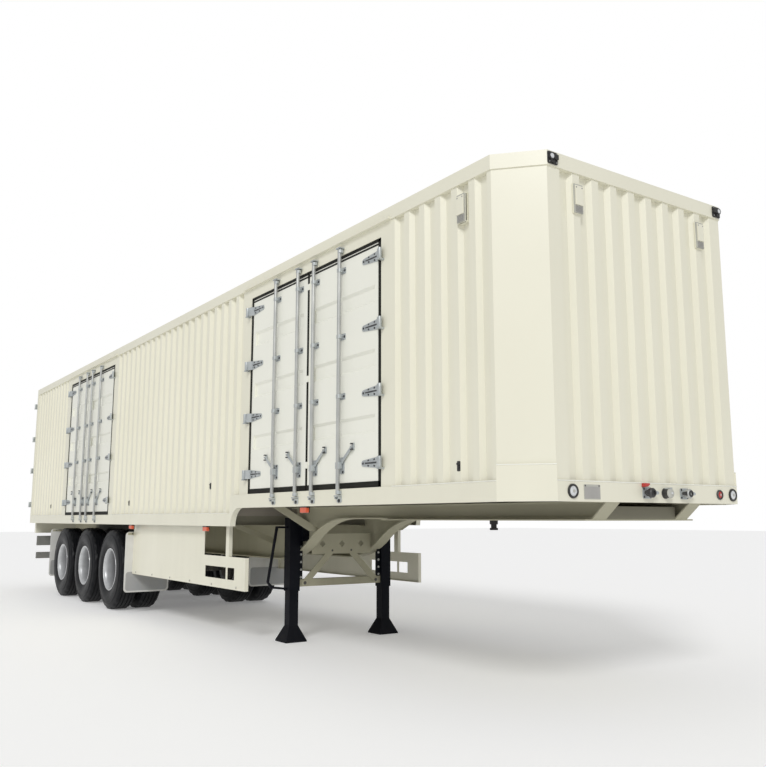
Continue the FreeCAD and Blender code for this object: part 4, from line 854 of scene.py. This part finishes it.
tyreMaster = join("tyrePair", [addTyre(centre) for centre in tyreLook["centres"]])
rimMaster = addRims()
wheelKinds = ((tyreMaster, "tyrePair_", "tyre", "tyres_"), (rimMaster, "rimPair_", "wheel_silver", "wheel_"))
for name in wheelNames:
    centre = Vector(joints["wheels_" + name + "_turn"]["pos_m"])
    matrix = Matrix.Translation(centre) @ Matrix.Scale(-1 if centre.y < 0 else 1, 4, (0, 1, 0))
    for master, label, slot, node in wheelKinds:
        mount(copyPiece(master, matrix, label + name), "wheels_" + name, slot, node + name)
drop(tyreMaster)
drop(rimMaster)
print("wheels ready")


def wallPlace(place, out):  # the frame of a spot on a wall: x to the right seen from outside, y up, z out
    out = Vector(out)
    turn = Matrix((Vector((0, 0, 1)).cross(out), (0, 0, 1), out)).transposed().to_4x4()
    return Matrix.Translation(Vector(place)) @ turn


def addPlate(outline, low, thick, bevel=0.0):
    return addSheet(outline, lambda a, b, out: (a, b, low + out), thick, bevel)


def roundPlate(wide, tall, corner, low, thick, bevel, a=0.0):  # half sizes, round the point (a, 0)
    return addPlate(rounded((a - wide, -tall), (a + wide, tall), corner), low, thick, bevel)


def turned(centre, *rows):  # finish, steps and an outline turned about the way out
    matrix = Matrix.Translation(centre) @ Matrix.Rotation(math.pi / 2, 4, "X")
    parts = []
    for finish, steps, outline in rows:
        piece = addSpun(outline, steps)
        piece.data.transform(matrix)
        parts.append(paint(smoothEdges(piece), finish))
    return parts


def faceBolt(a, b, out, radius, height):
    return addBolt((a, b, out), (0, 0, 1), radius, height)


def placeParts(parts, matrices):  # copies at every place, the masters dropped
    placed = [copyPiece(part, matrix) for matrix in matrices for part in parts]
    for part in parts:
        drop(part)
    return placed


ventLook = {
    "wide": 0.09, "grille": 0.27, "frontY": 0.693, "base": (0.007, -0.01, 0.011, 0.002),
    "duct": (0.045, 0.046), "shade": (0.003, 0.005, 0.006, 0.012), "hood": 0.024, "hoodIn": 0.009,
    "hoodTop": (0.02, 0.004), "slats": 5, "slatFrom": 0.008, "slat": (0.01, 0.005, 0.008, 0.016),
    "bolt": (0.028, 0.032, 0.004, 0.003),
}


def ventParts(tall):  # back plate, slatted grille, and a bolted hood
    look = ventLook
    half, top, hood = look["wide"] / 2, tall / 2, look["hood"]
    split = tall * look["grille"] - top
    base = roundPlate(half, top, *look["base"])
    side, below, above, out = look["shade"]
    # a grey block under the hood and behind the slats: painted shade inside the vent
    shade = addBlock((-half + side, -top + below, 0), (half - side, top - above, out))
    inset, (down, slope) = look["hoodIn"], look["hoodTop"]
    profile = [(split, 0.0), (split, hood), (top - down, hood - slope), (top - slope, 0.0)]
    cover = addSheet(profile, lambda b, out, a: (a - half + inset, b, out), look["wide"] - 2 * inset, 0.003)
    parts = painted(creamPaint, base) + painted(ventPlastic, shade) + painted(creamPaint, cover)
    side, thick, low, high = look["slat"]
    start = look["slatFrom"]
    for index in range(look["slats"]):
        z = -top + start + index * (split + top - 0.01) / look["slats"]
        parts += painted(plateGrey, addBlock((-half + side, z, low), (half - side, z + thick, high), 0.001))
    across, down, radius, height = look["bolt"]
    for a in (-across, across):
        parts += painted(plateGrey, faceBolt(a, top - down, hood - slope, radius, height))
    return parts


ventLow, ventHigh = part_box("vent_covers")
ventZ, ventX = (ventLow.z + ventHigh.z) / 2, ventLow.x + ventLook["wide"] / 2
spots = [wallPlace((ventX, side * sideY, ventZ), (0, side, 0)) for side in (-1, 1)]
spots += [wallPlace((frontX, side * ventLook["frontY"], ventZ), (1, 0, 0)) for side in (-1, 1)]
vents = placeParts(ventParts(ventHigh.z - ventLow.z), spots)
half, deep = ventLook["duct"]
for side in (-1, 1):
    duct = addBlock((ventX - half, side * sideY, ventLow.z), (ventX + half, side * (sideY - deep), ventHigh.z))
    vents += painted(creamPaint, duct)
mount(join("ventCovers", vents), "chassis", "vent_grey", "vent_covers")
print("vents ready")


lampLook = {
    "sideX": (3.9524, 1.7125, -0.8494), "railLow": (1.39, 1.2, 1.2),
    "bracket": ((-0.06, -0.012, -0.046), (0.06, 0.0, -0.004), 0.002),
    "lens": ((-0.055, -0.058, -0.042), (0.055, -0.01, -0.001), 0.007),
    "ribs": [((a - 0.002, -0.056, -0.004), (a + 0.002, -0.014, 0.0), 0.001)
             for a in (-0.04, -0.02, 0.0, 0.02, 0.04)],
    "cup": ((-0.058, -0.06, -0.046), (0.058, -0.012, -0.038), 0.002),
    "top": (0.935, 3.746), "topPlate": (0.048, 0.044, 0.012, 0.0, 0.01, 0.003),
    "topBlocks": [((-0.044, -0.012, 0.008), (0.0, 0.026, 0.026), 0.004),
                  ((-0.01, -0.038, 0.008), (0.03, -0.016, 0.02), 0.003)],
    "bulb": (0.018, 0.008, 0),
    "bezel": [(0.016, 0.008), (0.027, 0.008), (0.027, 0.02), (0.022, 0.026), (0.018, 0.022)],
    "glass": [(0.0, 0.012), (0.019, 0.012), (0.019, 0.022), (0.012, 0.028), (0.0, 0.03)],
    "topBolts": ((-0.034, 0.032), (0.034, -0.032), (-0.034, -0.032)), "topBolt": (0.009, 0.005, 0.004),
    "tail": (1.01, 1.2685), "case": (0.16, 0.03, 0.01, 0.0, 0.012, 0.003),
    "tailLens": (0.047, 0.024, 0.008, 0.01, 0.016, 0.004), "lensPitch": 0.104,
}


def sideLampParts():  # lens and rubber bracket, measured down from the rail's edge
    look = lampLook
    parts = painted(blackPlastic, addBlock(*look["bracket"]))
    parts += painted(orangeLens, addBlock(*look["lens"]), *[addBlock(*rib) for rib in look["ribs"]])
    return parts + painted(blackPlastic, addBlock(*look["cup"]))


def topLampParts():  # black bracket with a round lamp in its bezel
    look = lampLook
    blocks = [addBlock(*block) for block in look["topBlocks"]]
    parts = painted(blackPlastic, roundPlate(*look["topPlate"]), *blocks)
    parts += turned(look["bulb"], (blackPlastic, 32, look["bezel"]), (clearLens, 28, look["glass"]))
    return parts + painted(rodPaint, *[faceBolt(a, b, *look["topBolt"]) for a, b in look["topBolts"]])


def tailLampParts():  # a black case with three lenses
    parts = painted(blackPlastic, roundPlate(*lampLook["case"]))
    for place, lens in ((-1, redLens), (0, orangeLens), (1, clearLens)):
        parts += painted(lens, roundPlate(*lampLook["tailLens"], place * lampLook["lensPitch"]))
    return parts


sideLamps = [wallPlace((x, side * sideY, low), (0, side, 0))
             for x, low in zip(lampLook["sideX"], lampLook["railLow"]) for side in (-1, 1)]
lampParts = placeParts(sideLampParts(), sideLamps)
mirror = Matrix.Scale(-1, 4, (0, 1, 0))
y, z = lampLook["top"][:2]
right = wallPlace((frontX, -y, z), (1, 0, 0)) @ Matrix.Scale(-1, 4, (1, 0, 0))
lampParts += placeParts(topLampParts(), [right, mirror @ right])
y, z = lampLook["tail"][:2]
lampParts += placeParts(tailLampParts(), [wallPlace((tailX, side * y, z), (-1, 0, 0)) for side in (-1, 1)])
mount(join("lampSet", lampParts), "chassis", "lamp_red", "lamps")
print("lamps ready")


noseLook = {
    "rings": (-0.844, 0.92), "ring": (0.034, 0.048), "redRing": (0.754, 0.025, 0.037),
    "plate": ((-0.738, -0.052), (-0.58, 0.046), 0.004, 2), "plateOut": (-0.001, 0.004, 0.001),
    "label": ((-0.732, -0.046), (-0.586, 0.032), 0.003, 2), "labelOut": (0.002, 0.002),
    "plateBolts": (-0.726, -0.592), "plateBolt": (0.038, 0.003, 0.004, 0.003),
    "couplings": (-0.0985, 0.32), "flange": (0.046, 0.04, 0.01, -0.001, 0.008, 0.002),
    "flangeBolts": (0.035, 0.029),
    "head": [(0.0, 0.002), (0.022, 0.002), (0.022, 0.026), (0.031, 0.03), (0.034, 0.038), (0.034, 0.056),
             (0.027, 0.063), (0.014, 0.063), (0.012, 0.056), (0.0, 0.056)],
    "seal": [(0.013, 0.06), (0.024, 0.06), (0.024, 0.067), (0.013, 0.067)],
    "claw": ((0.02, -0.016), (0.078, -0.01), (0.082, 0.002), (0.072, 0.012), (0.02, 0.018)),
    "claws": (0.044, 0.034, 0.012), "capAt": 0.02,
    "cap": ((-0.034, 0.04), (0.006, 0.044), (0.03, 0.058), (0.026, 0.068), (-0.03, 0.068)),
    "socket": 0.105, "lidHinge": ((0.091, 0.026, 0.0), (0.119, 0.04, 0.056), 0.003),
    "lidPin": ((0.088, 0.037, 0.05), (0.122, 0.037, 0.05), 0.004, 12),
    "body": [(0.0, 0.0), (0.038, 0.0), (0.038, 0.008), (0.033, 0.01), (0.033, 0.046), (0.0, 0.046)],
    "lid": [(0.0, 0.044), (0.0345, 0.044), (0.0345, 0.052), (0.028, 0.058), (0.012, 0.06), (0.0, 0.06)],
    "knob": [(0.0, 0.058), (0.009, 0.058), (0.008, 0.066), (0.0, 0.066)],
    "closing": ((6.714, -0.38, 1.276), (6.722, 0.38, 1.366), 0.002),  # between the beams' noses; a dark plate as painted shade
}
railLow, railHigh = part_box("front_couplings")
railMiddle = (railLow.z + railHigh.z) / 2


def ringLamp(y, inner, outer, rim, lens):
    ring = [(inner, 0), (outer, 0), (outer, 0.008), (outer - 0.004, 0.013), (inner + 0.003, 0.013)]
    ring.append((inner, 0.008))
    glass = [(0.0, 0.0), (inner + 0.001, 0.0), (inner + 0.001, 0.006), (inner * 0.7, 0.011), (0.0, 0.013)]
    boss = [(0.0, 0.01), (inner * 0.32, 0.01), (inner * 0.3, 0.015), (0.0, 0.0155)]
    return turned((y, 0, 0), (rim, 48, ring), (lens, 40, glass), (ventPlastic, 24, boss))


def couplingParts(y, finish):  # flange, neck, head with its seal, and two claws
    look = noseLook
    parts = painted(galvanised, roundPlate(*look["flange"], y))
    across, up = look["flangeBolts"]
    for a in (-across, across):
        parts += painted(darkSteel, *[faceBolt(y + a, b, 0.006, 0.006, 0.005) for b in (-up, up)])
    parts += turned((y, 0, 0), (finish, 36, look["head"]), (blackPlastic, 28, look["seal"]))
    left, right, thick = look["claws"]
    for side, low, metal in ((-1, left, blackPlastic), (1, right, galvanised)):
        parts += painted(metal, addPlate([(y + side * a, b) for a, b in look["claw"]], low, thick, 0.003))
    return parts


def socketParts():  # the round cable socket with its hinged lid
    look, centre = noseLook, (noseLook["socket"], 0, 0)
    parts = turned(centre, (blackPlastic, 36, look["body"]), (ventPlastic, 36, look["lid"]))
    parts += turned(centre, (clearLens, 20, look["knob"]))
    return parts + painted(galvanised, addBlock(*look["lidHinge"])) + painted(rodPaint, addRod(*look["lidPin"]))


front = wallPlace((frontX, 0, railMiddle), (1, 0, 0))
parts = socketParts()
for y, finish in zip(noseLook["couplings"], (darkSteel, rodPaint)):
    parts += couplingParts(y, finish)
cap = shifted(noseLook["cap"], noseLook["couplings"][0] - noseLook["capAt"])
parts += painted(redLens, addPlate(cap, 0.0, 0.03, 0.004))
mount(join("pipeCouplings", placeParts(parts, [front])), "chassis", "coupling_red", "front_couplings")
parts = [part for y in noseLook["rings"] for part in ringLamp(y, *noseLook["ring"], blackPlastic, clearLens)]
parts += ringLamp(*noseLook["redRing"], darkSteel, redLens)
parts += painted(ventPlastic, addPlate(rounded(*noseLook["plate"]), *noseLook["plateOut"]))
parts += painted(plateGrey, addPlate(rounded(*noseLook["label"]), *noseLook["labelOut"]))
parts += painted(darkSteel, *[faceBolt(a, *noseLook["plateBolt"]) for a in noseLook["plateBolts"]])
parts = placeParts(parts, [front]) + painted(nosePaint, addBlock(*noseLook["closing"]))
mount(join("noseFittings", parts), "chassis", "leg_black")
print("front fittings ready")


hookLook = {
    "spots": ((6.163, 1.642), (1.83, 1.638), (-0.96, 1.492), (-5.305, 1.497)), "wall": 0.01,
    "plate": (0.018, 0.036, 0.008, -0.04, 0.043, 0.002),
    "tongue": ((-0.007, -0.024, 0.0), (0.007, 0.026, 0.01)),
    "ear": ((-0.016, 0.01, 0.0), (0.016, 0.022, 0.012)),
}


def hookParts():  # holds an open leaf back against the wall
    look = hookLook
    blocks = [addBlock(*look[key], 0.003) for key in ("tongue", "ear")]
    return painted(blackPlastic, roundPlate(*look["plate"]), *blocks)


spots = [wallPlace((x, side * (sideY - hookLook["wall"]), z), (0, side, 0))
         for x, z in hookLook["spots"] for side in (-1, 1)]
mount(join("leafHooks", placeParts(hookParts(), spots)), "chassis", "leg_black")


flapLook = {
    "faces": (-1.001, -5.151), "sheet": ((-1.25, 0.285), (-0.62, 1.1), 0.05, 6), "thick": 0.008,
    "panel": ((-1.228, 0.307), (-0.642, 0.56), 0.039, 5), "panelOut": (-0.001, 0.0025),
    "bar": ((-1.2, 1.05, -0.058), (-0.455, 1.1, -0.008), 0.004),
    "boltY": [-1.16 + index * 0.1125 for index in range(5)], "bolt": (1.075, 0.0, 0.009, 0.007),
    "strip": ((-1.22, 1.058, -0.001), (-0.65, 1.092, 0.003), 0.001),
}


def flapParts():  # pale sheet with a grey lower panel, bolted to its bar
    look = flapLook
    parts = painted(flapEdge, addPlate(rounded(*look["sheet"]), -look["thick"], look["thick"], 0.002))
    parts += painted(flapRubber, addPlate(rounded(*look["panel"]), *look["panelOut"]))
    parts += painted(framePaint, addBlock(*look["bar"]))
    parts += painted(darkSteel, *[faceBolt(y, *look["bolt"]) for y in look["boltY"]])
    return parts + painted(framePaint, addBlock(*look["strip"]))


spots = [wallPlace((x, 0, 0), (1, 0, 0)) for x in flapLook["faces"]]
flaps = placeParts(flapParts(), spots + [mirror @ spot for spot in spots])
mount(join("wheelFlaps", flaps), "chassis", "flap_grey", "mudflaps")
print("hooks and flaps ready")


boltLook = {
    "guard": [(-0.85 + index * 0.64, -1.14, 0.562) for index in range(6)], "guardBolt": (0.009, 0.007),
    "stays": ((-0.4575, 0.6), (-0.1225, 0.935)), "stay": (2.598, 2.61, 0.035), "stayBolt": (0.013, 0.01),
    "flange": ((2.5875, -0.5275, 0.63), (2.5975, -0.4825, 1.17), 0.002),
    "leg": [(2.5965, -0.50275, 0.66 + index * 0.08) for index in range(7)], "legBolt": (0.009, 0.008),
    "crankStub": ((2.6095, -0.59, 0.19), (2.5105, -0.59, 0.19), 0.018, 16, 0.002),
}


def fastenerParts():  # the right side's bolts, stay ends and bolted leg flange
    look = boltLook
    parts = painted(ventPlastic, *[addBolt(place, (0, -1, 0), *look["guardBolt"]) for place in look["guard"]])
    back, face, radius = look["stay"]
    for y, z in look["stays"]:
        parts += painted(framePaint, addRod((back, y, z), (face, y, z), radius, 28, 0.002))
        parts += painted(darkSteel, addBolt((face - 0.001, y, z), (1, 0, 0), *look["stayBolt"]))
    parts += painted(legPaint, addBlock(*look["flange"]))
    parts += painted(rodPaint, *[addBolt(place, (1, 0, 0), *look["legBolt"]) for place in look["leg"]])
    return parts + painted(darkSteel, addRod(*look["crankStub"]))


fasteners = placeParts(fastenerParts(), [Matrix.Identity(4), mirror])
mount(join("fasteners", fasteners), "chassis", "spring_steel")


trimLook = {
    "radius": 0.0045, "baseTop": 1.632, "front": 1.527, "tail": 1.337, "cornerX": 6.56, "cornerY": 0.983,
    "frontFrom": 5.36, "tailRuns": ((-1.74, 2.32), (-6.75, -4.49)),
}
top, front, tail = (trimLook[key] for key in ("baseTop", "front", "tail"))
runs = []
for side in (-1, 1):
    corner, nose = (trimLook["cornerX"], side * sideY), (frontX, side * trimLook["cornerY"])
    runs += [((*corner, top), (*nose, top)), ((trimLook["frontFrom"], side * sideY, front), (*corner, front))]
    runs += [((start, side * sideY, tail), (end, side * sideY, tail)) for start, end in trimLook["tailRuns"]]
y = trimLook["cornerY"]
runs.append(((frontX, -y, front), (frontX, y, front)))
beads = [addRod(start, end, trimLook["radius"], 10) for start, end in runs]
mount(paint(join("edgeBeads", beads), doorPaint), "chassis", "body_cream")
print("fasteners and beads ready")
